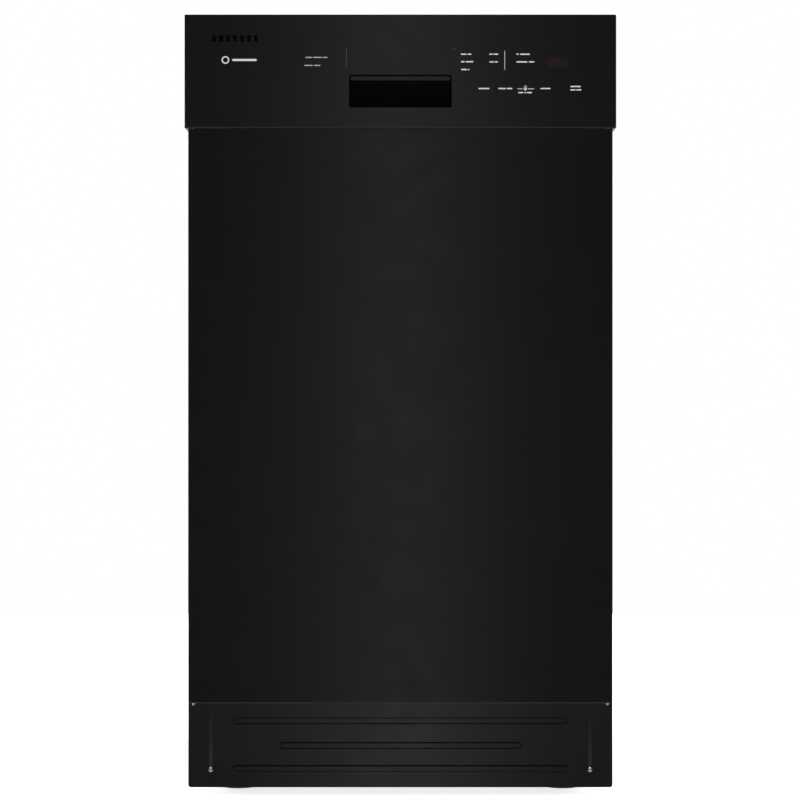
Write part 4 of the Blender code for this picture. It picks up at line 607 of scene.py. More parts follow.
# ---------------------------------------------------------------- camera, light and floor
LENS_MM, SENSOR_MM = 137.0, 36.0
CAMERA_AWAY, CAMERA_X, CAMERA_Z = 3.158, -0.0004, 0.4120
FLOOR_Z, FLOOR_CORNERS = -0.0002, ((-2.2, -1.9), (2.2, -1.9), (2.2, 2.4), (-2.2, 2.4))
FLOOR_GLOW = 0.84
# name, place, what it points at, width and height, watts
LIGHTS = (
    ("strip", (0.0, -3.65, 0.45), (0.0, 0.0, 0.45), (0.16, 3.4), 1.85),
    ("front_fill", (0.0, -3.9, 0.5), (0.0, 0.0, 0.4), (3.2, 2.6), 2.3),
    ("overhead", (0.0, 0.1, 3.0), (0.0, 0.0, 0.0), (3.4, 3.4), 80.0),
    ("room", (0.0, -2.2, 2.6), (0.0, -0.3, 0.45), (2.4, 1.6), 110.0),
    ("left", (-3.0, 1.9, 1.5), (0.0, 0.0, 0.4), (1.8, 2.2), 60.0),
    ("right", (3.0, 1.9, 1.5), (0.0, 0.0, 0.4), (1.8, 2.2), 60.0),
    ("behind", (0.0, 3.2, 1.6), (0.0, 0.0, 0.4), (2.6, 2.0), 60.0),
)




def build_camera(scene):
    lens = bpy.data.cameras.new("camera")
    lens.lens, lens.sensor_width = LENS_MM, SENSOR_MM
    lens.clip_end = 60.0
    camera = bpy.data.objects.new("camera", lens)
    camera.location = (CAMERA_X, FACE_Y - CAMERA_AWAY, CAMERA_Z)
    camera.rotation_euler = (math.radians(90), 0, 0)
    scene.collection.objects.link(camera)
    scene.camera = camera


def build_lights(scene):
    for name, spot, aim, size, power in LIGHTS:
        lamp = bpy.data.lights.new(name, "AREA")
        lamp.shape = "RECTANGLE"
        lamp.size, lamp.size_y = size
        lamp.energy = power
        holder = bpy.data.objects.new(name, lamp)
        holder.location = spot
        holder.rotation_euler = (Vector(aim) - Vector(spot)).to_track_quat("-Z", "Y").to_euler()
        holder.visible_camera = False
        scene.collection.objects.link(holder)


def build_world(scene):
    """White to look at; in reflections it darkens towards the front and grows paler towards the floor."""
    world = bpy.data.worlds.new("studio")
    world.use_nodes = True
    tree = world.node_tree
    tree.nodes.clear()
    coord = tree.nodes.new("ShaderNodeTexCoord")
    axes = socket(tree, "ShaderNodeSeparateXYZ", {"Vector": coord.outputs["Generated"]})
    behind = spread(tree, axes.outputs[1], 0.018, 0.50, 0.05, 0.60)
    below = spread(tree, axes.outputs[2], 0.80, 0.0, -0.80, -0.20)
    depth = socket(tree, "ShaderNodeMath", {0: behind, 1: below}).outputs[0]
    seen = socket(tree, "ShaderNodeBackground", {"Color": (1, 1, 1, 1), "Strength": 1.0})
    cast = socket(tree, "ShaderNodeBackground", {"Color": (1, 1, 1, 1), "Strength": depth})
    path = tree.nodes.new("ShaderNodeLightPath")
    either = {0: path.outputs["Is Camera Ray"], 1: cast.outputs[0], 2: seen.outputs[0]}
    both = socket(tree, "ShaderNodeMixShader", either)
    socket(tree, "ShaderNodeOutputWorld", {"Surface": both.outputs[0]})
    scene.world = world


def build_floor(scene):
    bm = bmesh.new()
    bm.faces.new([bm.verts.new((x, y, FLOOR_Z)) for x, y in FLOOR_CORNERS])
    mesh = bpy.data.meshes.new("floor")
    bm.to_mesh(mesh)
    bm.free()
    floor = bpy.data.objects.new("floor", mesh)
    pale, tree, shader = base_material("floor_white", 0.8, gloss=0.1)
    tone = ramp(tree, noise(tree, place(tree), 3.0), ((0.3, (0.93, 0.93, 0.93)), (0.7, (0.96, 0.96, 0.96))))
    tree.links.new(tone, shader.inputs["Base Color"])
    tree.links.new(tone, shader.inputs["Emission Color"])
    shader.inputs["Emission Strength"].default_value = FLOOR_GLOW
    mesh.materials.append(pale)
    scene.collection.objects.link(floor)
    floor.visible_glossy = False


def build_studio():
    scene = bpy.context.scene
    scene.view_settings.view_transform = "Standard"
    build_camera(scene)
    build_lights(scene)
    build_world(scene)
    build_floor(scene)


# ---------------------------------------------------------------- console
WALL = 0.0011
INK_FRONT, INK_BACK = FACE_Y - 0.00006, FACE_Y + 0.0003


POCKET = (-0.0532, 0.7154, 0.0532, 0.7495)
VENT_RECESS = (-0.1997, 0.7797, -0.1433, 0.7943)
VENT_COUNT, VENT_MIDDLE, VENT_PITCH = 7, -0.1715, 0.0072
VENT_HALF, VENT_Z = 0.0021, (0.7834, 0.7906)


def console_opening(x0, z0, x1, z1, radius, reach, rounding=6):
    """A cutter with rounded corners that goes a given way into the console's face."""
    return plate(rounded_rectangle((x0, z0), (x1, z1), radius, rounding), FACE_Y - 0.01, FACE_Y + reach)


def console_cuts():
    low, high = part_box("console_fascia")
    inner_low, inner_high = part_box("door_inner_panel")
    near = (inner_low.x - 0.0004, inner_low.y - 0.0004, low.z - 0.01)
    far = (inner_high.x + 0.0004, high.y + 0.01, low.z + 0.01)
    cuts = [blocks((near, far), radius=0)]
    top, foot, ahead = low.z + 0.0040, low.z - 0.0010, FACE_Y - 0.003
    wedge = ((FACE_Y - 0.0007, top), (FACE_Y + 0.00105, foot), (ahead, foot), (ahead, top))
    cuts.append(plate(wedge, low.x - 0.01, high.x + 0.01, "X"))
    cuts.append(console_opening(*POCKET, 0.0020, 0.02))
    cuts.append(console_opening(*VENT_RECESS, 0.0012, 0.0008, 3))
    for i in range(VENT_COUNT):
        x = VENT_MIDDLE + (i - VENT_COUNT // 2) * VENT_PITCH
        cuts.append(console_opening(x - VENT_HALF, VENT_Z[0], x + VENT_HALF, VENT_Z[1], 0.0007, 0.01, 3))
    lens_low, lens_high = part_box("display_lens")
    room = 0.00005
    window = (lens_low.x - room, lens_low.z - room, lens_high.x + room, lens_high.z + room)
    cuts.append(console_opening(*window, 0.0003, 0.01, 2))
    return cuts


def build_console():
    low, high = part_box("console_fascia")
    mesh = worked(pan(low, high, "+Y", 0.0012, 4), cuts=console_cuts(), wall=WALL, edge=0.00020, segments=2)
    piece("console_shell", mesh, "console", "door", 30.0, ("console_fascia",))


def build_pocket():
    low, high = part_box("handle_pocket")
    arm_x = 0.032
    cuts = [
        blocks(((s * arm_x - 0.003, low.y - 0.002, 0.745), (s * arm_x + 0.003, -0.298, 0.760)), radius=0)
        for s in (-1, 1)
    ]
    mesh = worked(pan(low, high, "-Y", 0.0050, 5), cuts=cuts, wall=0.0018)
    piece("pocket_cup", mesh, "cavity", "door", 35.0, ("handle_pocket",))
    low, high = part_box("latch_lever")
    lever = blocks(((low.x, low.y, low.z + 0.0004), (high.x, high.y, LEVER_TOP)), radius=0.0006, segments=3)
    arms = [
        blocks(((s * arm_x - 0.002, -0.3055, 0.7472), (s * arm_x + 0.002, -0.3005, 0.7592)), radius=0)
        for s in (-1, 1)
    ]
    axle = bar((-0.038, *LEVER_AXLE), (0.038, *LEVER_AXLE), 0.0018, 20)
    piece(
        "pull_lever", worked(lever, joins=[*arms, axle]), "console", "latch_lever", 35.0,
        ("latch_lever",),
    )


def dashes(x0, x1, z, words, height=0.0013):
    """A stand-in for a printed caption: rounded strokes, the lengths of its words."""
    gap = 0.55
    total = sum(words) + gap * (len(words) - 1)
    unit = (x1 - x0) / total
    out, x = [], x0
    for word in words:
        end = x + word * unit
        out.append(stroke(x, z - height / 2, end, z + height / 2, height * 0.42, 3))
        x = end + gap * unit
    return out


def stroke(x0, z0, x1, z1, radius, rounding=2):
    """A printed bar with rounded corners."""
    return plate(rounded_rectangle((x0, z0), (x1, z1), radius, rounding), INK_FRONT, INK_BACK)


def ring(x, z, outer, inner, sides=28):
    """A printed ring with the ink's thickness."""
    bm = bmesh.new()
    turns = [2 * math.pi * i / sides for i in range(sides)]
    circles = [[(x + r * math.cos(a), INK_FRONT, z + r * math.sin(a)) for a in turns] for r in (outer, inner)]
    bridge(bm, [[bm.verts.new(spot) for spot in circle] for circle in circles], True)
    made = bmesh.ops.extrude_face_region(bm, geom=bm.faces[:])
    shift = Vector((0, INK_BACK - INK_FRONT, 0))
    bmesh.ops.translate(bm, vec=shift, verts=[v for v in made["geom"] if isinstance(v, bmesh.types.BMVert)])
    bmesh.ops.recalc_face_normals(bm, faces=bm.faces)
    return bm


def build_print():
    """Pale marks on the console: captions as plain strokes, and a neutral ring and bar for the maker's."""
    marks = []
    for x0, x1, z, words in (
        (0.0628, 0.0736, 0.7707, (3, 2)),
        (0.0628, 0.0757, 0.7629, (2, 4)),
        (0.0628, 0.0716, 0.7548, (4, 1)),
        (0.0923, 0.1016, 0.7707, (2, 3)),
        (0.0923, 0.1010, 0.7627, (3, 2)),
        (0.1203, 0.1342, 0.7707, (1, 4)),
        (0.1203, 0.1390, 0.7627, (4, 2)),
        (0.0809, 0.0923, 0.7351, (5,)),
        (0.1016, 0.1161, 0.7351, (4, 3)),
        (0.1222, 0.1365, 0.7309, (3, 1, 3)),
        (0.1452, 0.1556, 0.7351, (5,)),
        (0.1763, 0.1870, 0.7372, (5,)),
        (0.1763, 0.1877, 0.7337, (3, 3)),
    ):
        marks += dashes(x0, x1, z, words)
    marks.append(stroke(0.1281, 0.7334, 0.1311, 0.7359, 0.0003))
    marks.append(ring(0.1296, 0.7368, 0.0014, 0.0008))
    for x0, x1 in ((0.1214, 0.1270), (0.1322, 0.1388)):
        marks.append(stroke(x0, 0.7345, x1, 0.7351, 0.0002))
    marks.append(stroke(0.1080, 0.7545, 0.1085, 0.7742, 0.0002))
    piece("printed_marks", merged(marks), "ink", "door")
    faint = dashes(-0.0985, -0.0757, 0.7674, (3, 4, 2), 0.0011)
    faint += dashes(-0.0996, -0.0830, 0.7591, (4, 3), 0.0011)
    piece("faint_marks", merged(faint), "soft_ink", "door")
    hair = [stroke(-0.0562, 0.7570, -0.0558, 0.7773, 0.0001)]
    hair.append(plate(arc((0.0558, 0.7765), 0.0006, 0, 330, 11), INK_FRONT, INK_BACK))
    piece("hair_marks", merged(hair), "dim_ink", "door")
    badge = [ring(-0.1815, 0.7647, 0.0040, 0.0027, 36)]
    badge.append(stroke(-0.1745, 0.7636, -0.1490, 0.7658, 0.0010, 4))
    piece("neutral_badge", merged(badge), "ink", "door")


def build_display():
    low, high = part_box("display_lens")
    piece(
        "display_window", blocks((low, high), radius=0.0003), "window", "door", 35.0,
        ("display_lens",),
    )
    strokes = []
    centre_z = (low.z + high.z) / 2

    def segment(x, z, half_x, half_z):
        outline = rounded_rectangle((x - half_x, z - half_z), (x + half_x, z + half_z), 0.0002, 2)
        strokes.append(plate(outline, low.y - 0.00004, low.y + 0.0003))

    for x in (low.x + 0.0085, low.x + 0.0155, low.x + 0.0225):
        for dz in (-0.0044, 0.0, 0.0044):
            segment(x, centre_z + dz, 0.0014, 0.0003)
        for dx in (-0.0019, 0.0019):
            for dz in (-0.0022, 0.0022):
                segment(x + dx, centre_z + dz, 0.0003, 0.0015)
    piece("unlit_digits", merged(strokes), "segment", "door")


# ---------------------------------------------------------------- door
def build_outer_panel():
    low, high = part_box("door_outer_panel")
    inner_low, inner_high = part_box("door_inner_panel")
    room = inner_high.x + 0.0004
    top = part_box("console_fascia")[0].z - 0.0001
    cuts = [
        blocks(
            ((-room, inner_low.y - 0.0004, high.z - 0.006), (room, high.y + 0.01, high.z + 0.004)), radius=0,
        )
    ]
    cuts.append(
        blocks(((low.x - 0.01, low.y - 0.01, top), (high.x + 0.01, high.y + 0.01, top + 0.02)), radius=0)
    )
    for s in SIDES.values():
        x0, x1 = sorted((s * 0.213, s * 0.2185))
        cuts.append(blocks(((x0, -0.2815, low.z - 0.002), (x1, high.y + 0.01, low.z + 0.004)), radius=0))
    mesh = worked(pan(low, high + Vector((0, 0, 0.006)), "+Y", 0.0012, 4), cuts=cuts, wall=0.0010)
    piece("door_skin", mesh, "enamel", "door", 30.0, ("door_outer_panel",))


def build_liner():
    """The door's stainless inside, with pressed fields between the vent and the dispenser."""
    low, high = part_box("door_inner_panel")
    fields = (
        ((-0.178, 0.140), (0.178, 0.350), 0.030), ((-0.070, 0.530), (0.178, 0.772), 0.030),
        ((-0.178, 0.385), (-0.055, 0.685), 0.030),
    )
    back = high.y - low.y

    def spot(u, v):
        x = min(max(u, low.x), high.x)
        z = min(max(v, low.z), high.z)
        depth = abs(u - x) + abs(v - z)
        for f_low, f_high, radius in fields:
            depth += 0.0038 * soft_step(inside(x, z, f_low, f_high, radius) / 0.011)
        return (x, high.y - depth, z)

    def keep(u, v):
        corner = (u < low.x or u > high.x) and (v < low.z or v > high.z)
        return not corner and not (abs(u) < 0.030 and v > 0.790)

    us = [
        low.x - back, low.x - back / 2, *steps(low.x, -0.030, 0.0046), *steps(-0.030, 0.030, 0.0046)[1:],
        *steps(0.030, high.x, 0.0046)[1:], high.x + back / 2, high.x + back,
    ]
    vs = [
        low.z - back, low.z - back / 2, *steps(low.z, 0.790, 0.0048), *steps(0.790, high.z, 0.0048)[1:],
        high.z + back / 2, high.z + back,
    ]
    mesh = pressed(us, vs, spot, 0.0009, keep)
    piece("door_liner", mesh, "liner", "door", 40.0, ("door_inner_panel",))


def build_dispenser():
    low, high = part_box("dispenser_body")
    face = high.y
    rim = plate(rounded_rectangle((low.x, low.z), (high.x, high.z), 0.010), LINER_FACE, LINER_FACE + 0.0020)
    main = blocks(((-0.020, low.y, 0.380), (0.150, face, 0.500)), radius=0.0035, segments=4)
    well = plate(rounded_rectangle((0.004, 0.394), (0.072, 0.456), 0.012), -0.277, face + 0.01)
    grooves = [
        plate(rounded_rectangle((0.088, z), (0.138, z + 0.0025), 0.0011, 3), face - 0.0008, face + 0.01)
        for z in (0.388, 0.394, 0.484, 0.490)
    ]
    grooves.append(
        plate(rounded_rectangle((0.006, 0.470), (0.070, 0.490), 0.004), face - 0.0012, face + 0.01)
    )
    mesh = worked(main, cuts=[well, *grooves], joins=[rim], edge=0.0005, segments=2)
    piece("dispenser_case", mesh, "grey", "door", 35.0, ("dispenser_body",))
    bm = bar((0.1440, face - 0.002, 0.470), (0.1440, face + 0.0012, 0.470), 0.0028, 20)
    piece("rinse_gauge", bm, "gauge", "door")

    low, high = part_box("dispenser_lid")
    lid = blocks(((low.x, low.y, 0.3910), (high.x, low.y + 0.0030, high.z)), radius=0.0009, segments=3)
    tray = plate(rounded_rectangle((0.011, 0.402), (0.065, 0.446), 0.006), low.y + 0.0020, low.y + 0.01)
    barrel = bar((0.010, *LID_AXLE), (0.066, *LID_AXLE), 0.0022, 16)
    tab = blocks(
        ((0.030, low.y + 0.0005, high.z - 0.006), (0.046, low.y + 0.0044, high.z - 0.0005)), radius=0.0006,
    )
    piece(
        "lid_flap", worked(lid, cuts=[tray], joins=[barrel, tab]), "pale", "dispenser_lid",
        35.0, ("dispenser_lid",),
    )

    low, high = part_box("rinse_aid_cap")
    x, z = (low.x + high.x) / 2, (low.z + high.z) / 2
    profile = (
        (0, 0.0036), (0.0135, 0.0036), (0.0152, 0.0042), (0.0166, 0.0036), (0.0170, 0.0022), (0.0170, 0.0),
        (0, 0),
    )
    disc = lathe([(r, -h) for r, h in profile], (x, low.y, z), "Y", 40)
    bmesh.ops.recalc_face_normals(disc, faces=disc.faces)
    grip = blocks(
        ((x - 0.0125, low.y + 0.003, z - 0.002), (x + 0.0125, high.y - 0.0002, z + 0.002)), radius=0.0009,
        segments=3,
    )
    notches = []
    for i in range(18):
        a = math.radians(20 * i)
        notch = bmesh.new()
        spot = (x + 0.0178 * math.cos(a), low.y - 0.001, z + 0.0178 * math.sin(a))
        rod(notch, spot, (spot[0], low.y + 0.006, spot[2]), 0.0013, 10)
        notches.append(notch)
    piece(
        "rinse_cap_knob", worked(disc, cuts=[merged(notches)], joins=[grip]), "dark", "rinse_aid_cap",
        35.0, ("rinse_aid_cap",),
    )
    arrow = plate(
        [(x + 0.0100, z - 0.0008), (x + 0.0120, z), (x + 0.0100, z + 0.0008)], high.y - 0.0003,
        high.y - 0.00012,
    )
    piece("cap_pointer", arrow, "ink", "rinse_aid_cap")


def build_vent():
    low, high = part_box("door_vent")
    x, z = -0.150, 0.745
    y = high.y
    duct = worked(pan((low.x, low.y, 0.728), (-0.142, -0.262, 0.7955), "-Y", 0.003, 3), wall=0.0018)
    piece("vent_duct", duct, "grey", "door", 35.0)
    profile = (
        (0, 0.0036), (0.0060, 0.0040), (0.0100, 0.0030), (0.0300, 0.0030), (0.0340, 0.0042), (0.0368, 0.0040),
        (0.0380, 0.0024), (0.0380, 0.0), (0.0350, 0.0), (0.0350, -0.0090), (0, -0.0090),
    )
    cap = lathe([(a, -b) for a, b in profile], (x, LINER_FACE, z), "Y", 56)
    bmesh.ops.recalc_face_normals(cap, faces=cap.faces)
    slots = []
    for start in (20, 140, 260):
        for radius in (0.0155, 0.0215, 0.0275):
            outer = arc((x, z), radius + 0.0015, start, start + 80, 16)
            inner = arc((x, z), radius - 0.0015, start + 80, start, 16)
            slots.append(plate(outer + inner, y - 0.006, y + 0.01))
    piece(
        "vent_cap_grille", worked(cap, cuts=[merged(slots)]), "grey", "door", 35.0,
        ("door_vent",),
    )


def build_door_trim():
    low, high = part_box("door_latch")
    cut = blocks(((-0.011, -0.275, 0.797), (0.011, -0.250, 0.807)), radius=0.0008)
    case = blocks((low, high), radius=0.0015, segments=3)
    piece("latch_case", worked(case, cuts=[cut]), "dark", "door", 35.0, ("door_latch",))
    screws = bmesh.new()
    spots = [(x, z) for x in (-0.206, 0.206) for z in (0.125, 0.330, 0.520, 0.700)]
    spots += [(x, 0.793) for x in (-0.19, -0.10, 0.10, 0.19)]
    for x, z in spots:
        rod(screws, (x, -0.2572, z), (x, -0.2563, z), 0.0034, 20, 0.0024)
    piece("liner_screws", screws, "bright", "door")


# ---------------------------------------------------------------- kick plate
def groove_ring(x, z, half_length, radius, widths, front, depth):
    """A race-track ring with a vee section, for the line round a bead; widths are above and below it."""
    upper, lower = widths
    line = stadium(x, z, half_length, radius)
    rows = [[], [], []]
    bm = bmesh.new()
    for u, v in line:
        along = min(max(u - x, radius - half_length), half_length - radius)
        out = Vector((u - x - along, v - z)).normalized()
        width = (lower + (upper - lower) * (out.y + 1) / 2) * (depth + 0.001) / depth
        for row, offset, y in zip(rows, (0.5, -0.5, 0.0), (front - 0.001, front - 0.001, front + depth)):
            row.append(bm.verts.new((u + out.x * width * offset, y, v + out.y * width * offset)))
    upper_edge, lower_edge, root = rows
    bridge(bm, (upper_edge, root, lower_edge, upper_edge), True)
    bmesh.ops.recalc_face_normals(bm, faces=bm.faces)
    return bm


def build_kick_plate():
    low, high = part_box("kick_plate")
    face = low.y + 0.0016
    wall = 0.0010
    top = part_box("door_outer_panel")[0].z - 0.0008
    outline = rounded_rectangle((low.x, low.z), (high.x, top), 0.0030)
    sheet = plate(outline, face, face + wall)
    joins, cuts = [], []
    beads = (
        (0.352, 0.0740, 0.0010, 0.0018), (0.254, 0.0481, 0.0017, 0.0017), (0.352, 0.0238, 0.0018, 0.0010),
    )
    for length, z, above, under in beads:
        joins.append(plate(stadium(0, z, length / 2, 0.0034), low.y + 0.0006, face + wall * 0.8))
        cuts.append(groove_ring(0, z, length / 2, 0.0032, (above, under), low.y + 0.0006, 0.0017))
    for s in SIDES.values():
        x0, x1 = sorted((s * high.x, s * (high.x - wall)))
        joins.append(blocks(((x0, face + 0.0005, low.z + 0.006), (x1, high.y, high.z - 0.004)), radius=0))
        slot = stadium(s * 0.1997, 0.0514, 0.0304, 0.0021, upright=True)
        cuts.append(plate(slot, low.y - 0.01, high.y + 0.01))
    mesh = worked(sheet, joins=joins, cuts=cuts, edge=0.00025, segments=2)
    piece("toe_plate", mesh, "kick", "kick_plate", 30.0, ("kick_plate",))
    for name, s in SIDES.items():
        s_low, s_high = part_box(f"kick_screw_{name}")
        x, z = (s_low.x + s_high.x) / 2, (s_low.z + s_high.z) / 2
        profile = [
            (0, s_low.y), (0.0013, s_low.y), (0.0024, s_low.y + 0.0007), (0.0031, s_low.y + 0.0018),
            (0.0033, s_low.y + 0.0031), (0.0016, s_low.y + 0.0032), (0.0016, s_high.y), (0, s_high.y),
        ]
        head = lathe([(r, -y) for r, y in profile], (x, 0, z), "Y", 32)
        cross = [
            blocks(((x - dx, s_low.y - 0.01, z - dz), (x + dx, s_low.y + 0.0012, z + dz)), radius=0)
            for dx, dz in ((0.0018, 0.0004), (0.0004, 0.0018))
        ]
        piece(
            f"toe_screw_{name}", worked(head, cuts=[merged([cross[0]]), cross[1]]), "bright", "cabinet",
            35.0, (f"kick_screw_{name}",),
        )


# ---------------------------------------------------------------- tub
TUB_LOW, TUB_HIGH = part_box("tub_rear")
TUB_HALF = TUB_HIGH.x - 0.001
CEILING = TUB_HIGH.z - 0.001
FLANGE_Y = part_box("tub_wrapper")[0].y
BACK_Y = TUB_LOW.y - 0.0004


def tub_section(half, top, low, radius):
    """The tub's outline from the foot of its left side, over the top, to the foot of its right side."""
    side = steps(low, top - radius, 0.012)
    left = [(-half, z) for z in side] + arc((-half + radius, top - radius), radius, 180, 90, 10)[1:]
    across = [(x, top) for x in steps(-half + radius, half - radius, 0.014)][1:-1]
    right = [(-x, z) for x, z in left][::-1]
    return left + across + right


def build_tub_wrapper():
    low = 0.102
    section = tub_section(TUB_HALF, CEILING, low, 0.026)
    foot = 0.138
    flange = [
        (
            x * (TUB_HALF + 0.009) / TUB_HALF,
            max(foot, CEILING + 0.009 if abs(z - CEILING) < 1e-6 else z * (CEILING + 0.009) / CEILING),
        )
        for x, z in section
    ]
    ys = [FLANGE_Y + 0.004, *steps(FLANGE_Y + 0.012, BACK_Y - 0.01, 0.0115), BACK_Y]
    bm = bmesh.new()
    rows = [
        [bm.verts.new((x, FLANGE_Y, z)) for x, z in flange],
        [bm.verts.new((x, FLANGE_Y, max(z, foot))) for x, z in section],
    ]
    for y in ys:
        row = []
        for x, z in section:
            sink = 0.0
            if abs(abs(x) - TUB_HALF) < 1e-6:
                for z0, z1 in ((0.330, 0.530), (0.620, 0.735)):
                    sink = max(
                        sink,
                        soft_step(inside(y, z, (FLANGE_Y + 0.050, z0), (BACK_Y - 0.050, z1), 0.020) / 0.014),
                    )
                x -= math.copysign(0.0016 * sink, x)
            elif abs(z - CEILING) < 1e-6:
                sink = soft_step(
                    inside(x, y, (-0.120, FLANGE_Y + 0.110), (0.120, BACK_Y - 0.110), 0.030) / 0.016
                )
                z -= 0.0030 * sink
            row.append(bm.verts.new((x, y, z)))
        rows.append(row)
    bridge(bm, rows, False)
    bmesh.ops.remove_doubles(bm, verts=bm.verts, dist=1e-6)
    bmesh.ops.recalc_face_normals(bm, faces=bm.faces)
    centre = Vector((0, 0, 0.45))
    sample = min(bm.faces, key=lambda f: (f.calc_center_median() - Vector((TUB_HALF, 0.0, 0.58))).length)
    if sample.normal.dot(centre - sample.calc_center_median()) > 0:
        bmesh.ops.reverse_faces(bm, faces=bm.faces)
    piece("tub_walls", worked(bm, wall=-0.0009), "tub", "cabinet", 42.0, ("tub_wrapper",))


def build_tub_rear():
    low, high = TUB_LOW, TUB_HIGH

    def spot(u, v):
        depth = 0.0
        for f_low, f_high, radius in (
            ((-0.150, 0.200), (-0.030, 0.440), 0.030), ((0.030, 0.200), (0.150, 0.440), 0.030),
            ((-0.150, 0.540), (0.150, 0.720), 0.030),
        ):
            depth += soft_step(inside(u, v, f_low, f_high, radius) / 0.014)
        return (u, low.y + 0.0004 - 0.0030 * depth, v)

    def keep(u, v):
        reach = 0.0275
        if abs(u) > high.x - reach and v > high.z - reach:
            return math.hypot(abs(u) - high.x + reach, v - high.z + reach) < reach
        return True

    mesh = pressed(steps(low.x, high.x, 0.0060), steps(low.z, high.z, 0.0060), spot, 0.0008, keep)
    piece("tub_back_panel", mesh, "tub", "cabinet", 40.0, ("tub_rear",))


def build_tub_floor():
    """Ledges for the wheels and a dished basin falling to the sump."""
    low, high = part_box("tub_floor")
    ledge, basin = LEDGE_Z, BASIN_Z
    rings = []
    per = 24
    insets = (
        (0.0, ledge - 0.012), (0.0, ledge - 0.0012), (0.0012, ledge), (0.010, ledge), (0.0310, ledge),
        (0.0340, ledge - 0.0012), (0.0460, ledge - 0.0095), (0.0565, ledge - 0.0172), (0.0610, basin),
    )
    for inset, z in insets:
        half, front, back = high.x - inset, low.y + inset, high.y - inset
        corners = [(half, back), (-half, back), (-half, front), (half, front)]
        ring_points = []
        for i, (x0, y0) in enumerate(corners):
            x1, y1 = corners[(i + 1) % 4]
            ring_points += [(x0 + (x1 - x0) * t / per, y0 + (y1 - y0) * t / per, z) for t in range(per)]
        rings.append(ring_points)
    outer = rings[-1]
    turns = [math.radians(45 + 360 * i / (4 * per)) for i in range(4 * per)]
    rim = [(0.100 * math.cos(a), SUMP_Y + 0.100 * math.sin(a), basin - 0.001) for a in turns]
    for t in (0.25, 0.5, 0.75, 0.92):
        rings.append([tuple(a + (b - a) * t for a, b in zip(p, q)) for p, q in zip(outer, rim)])
    rings.append(rim)
    bm = bmesh.new()
    rows = [[bm.verts.new(p) for p in points] for points in rings]
    bridge(bm, rows, True)
    bmesh.ops.remove_doubles(bm, verts=bm.verts, dist=1e-6)
    bmesh.ops.recalc_face_normals(bm, faces=bm.faces)
    if sum(f.normal.z * f.calc_area() for f in bm.faces) < 0:
        bmesh.ops.reverse_faces(bm, faces=bm.faces)
    drills = bmesh.new()
    leg_x, leg_y = 0.120 * math.sin(math.radians(10)), SUMP_Y + 0.120 * math.cos(math.radians(10))
    for x, y, radius in (
        (-leg_x, leg_y, 0.0055), (leg_x, leg_y, 0.0055), (0, 0.274, 0.0113), (-0.112, -0.170, 0.005),
    ):
        rod(drills, (x, y, basin - 0.02), (x, y, ledge + 0.02), radius, 26)
    piece(
        "tub_base_pan", worked(bm, cuts=[drills], wall=0.0009), "tub", "cabinet", 45.0,
        ("tub_floor",),
    )
    rings_bm = []
    for x, y, radius in ((-leg_x, leg_y, 0.0055), (leg_x, leg_y, 0.0055)):
        profile = (
            (0.0042, 0.0008), (0.0042, 0.0040), (0.0080, 0.0040), (0.0100, 0.0028), (0.0102, 0.0006),
            (0.0042, 0.0006),
        )
        rings_bm.append(lathe(profile, (x, y, basin + 0.0004), "Z", 24))
    piece("element_grommets", merged(rings_bm), "rubber", "cabinet")


def build_seals():
    """A bulb seal round the opening with a soft lip towards the door, and the strip at its foot."""
    low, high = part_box("door_gasket")
    y = (low.y + high.y) / 2
    path = []
    half, top, radius = high.x - 0.0021, high.z - 0.0021, 0.026
    for z in steps(low.z, top - radius, 0.02):
        path.append((-half, z))
    path += arc((-half + radius, top - radius), radius, 180, 90, 10)[1:]
    path += [(-x, z) for x, z in path[::-1]]
    profile = [
        (0.0020, -0.0030), (0.0021, 0.0012), (0.0010, 0.0030), (-0.0006, 0.0038), (-0.0016, 0.0036),
        (-0.0008, 0.0024), (-0.0018, 0.0008), (-0.0019, -0.0008), (-0.0008, -0.0022), (-0.0016, -0.0032),
    ]
    bm = bmesh.new()
    rows = []
    for i, (x, z) in enumerate(path):
        before, after = path[max(0, i - 1)], path[min(len(path) - 1, i + 1)]
        along = Vector((after[0] - before[0], after[1] - before[1])).normalized()
        out = Vector((-along.y, along.x))
        rows.append([bm.verts.new((x + out.x * b * 0.7, y + a, z + out.y * b * 0.7)) for a, b in profile])
    bridge(bm, rows, True)
    bm.faces.new(rows[0])
    bm.faces.new(rows[-1])
    bmesh.ops.recalc_face_normals(bm, faces=bm.faces)
    piece("opening_seal", bm, "rubber", "cabinet", 60.0, ("door_gasket",))
    low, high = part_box("door_bottom_seal")
    y = low.y
    section = [
        (y, low.z), (y + 0.0012, low.z - 0.0004), (y + 0.0034, low.z + 0.0006), (y + 0.0037, low.z + 0.0020),
        (y + 0.0022, low.z + 0.0034), (y + 0.0030, low.z + 0.0050), (y + 0.0016, low.z + 0.0066),
        (y + 0.0013, high.z), (y, high.z),
    ]
    strip = plate(section, low.x, high.x, "X")
    piece("foot_seal", worked(strip, edge=0.0003), "rubber", "door", 60.0, ("door_bottom_seal",))


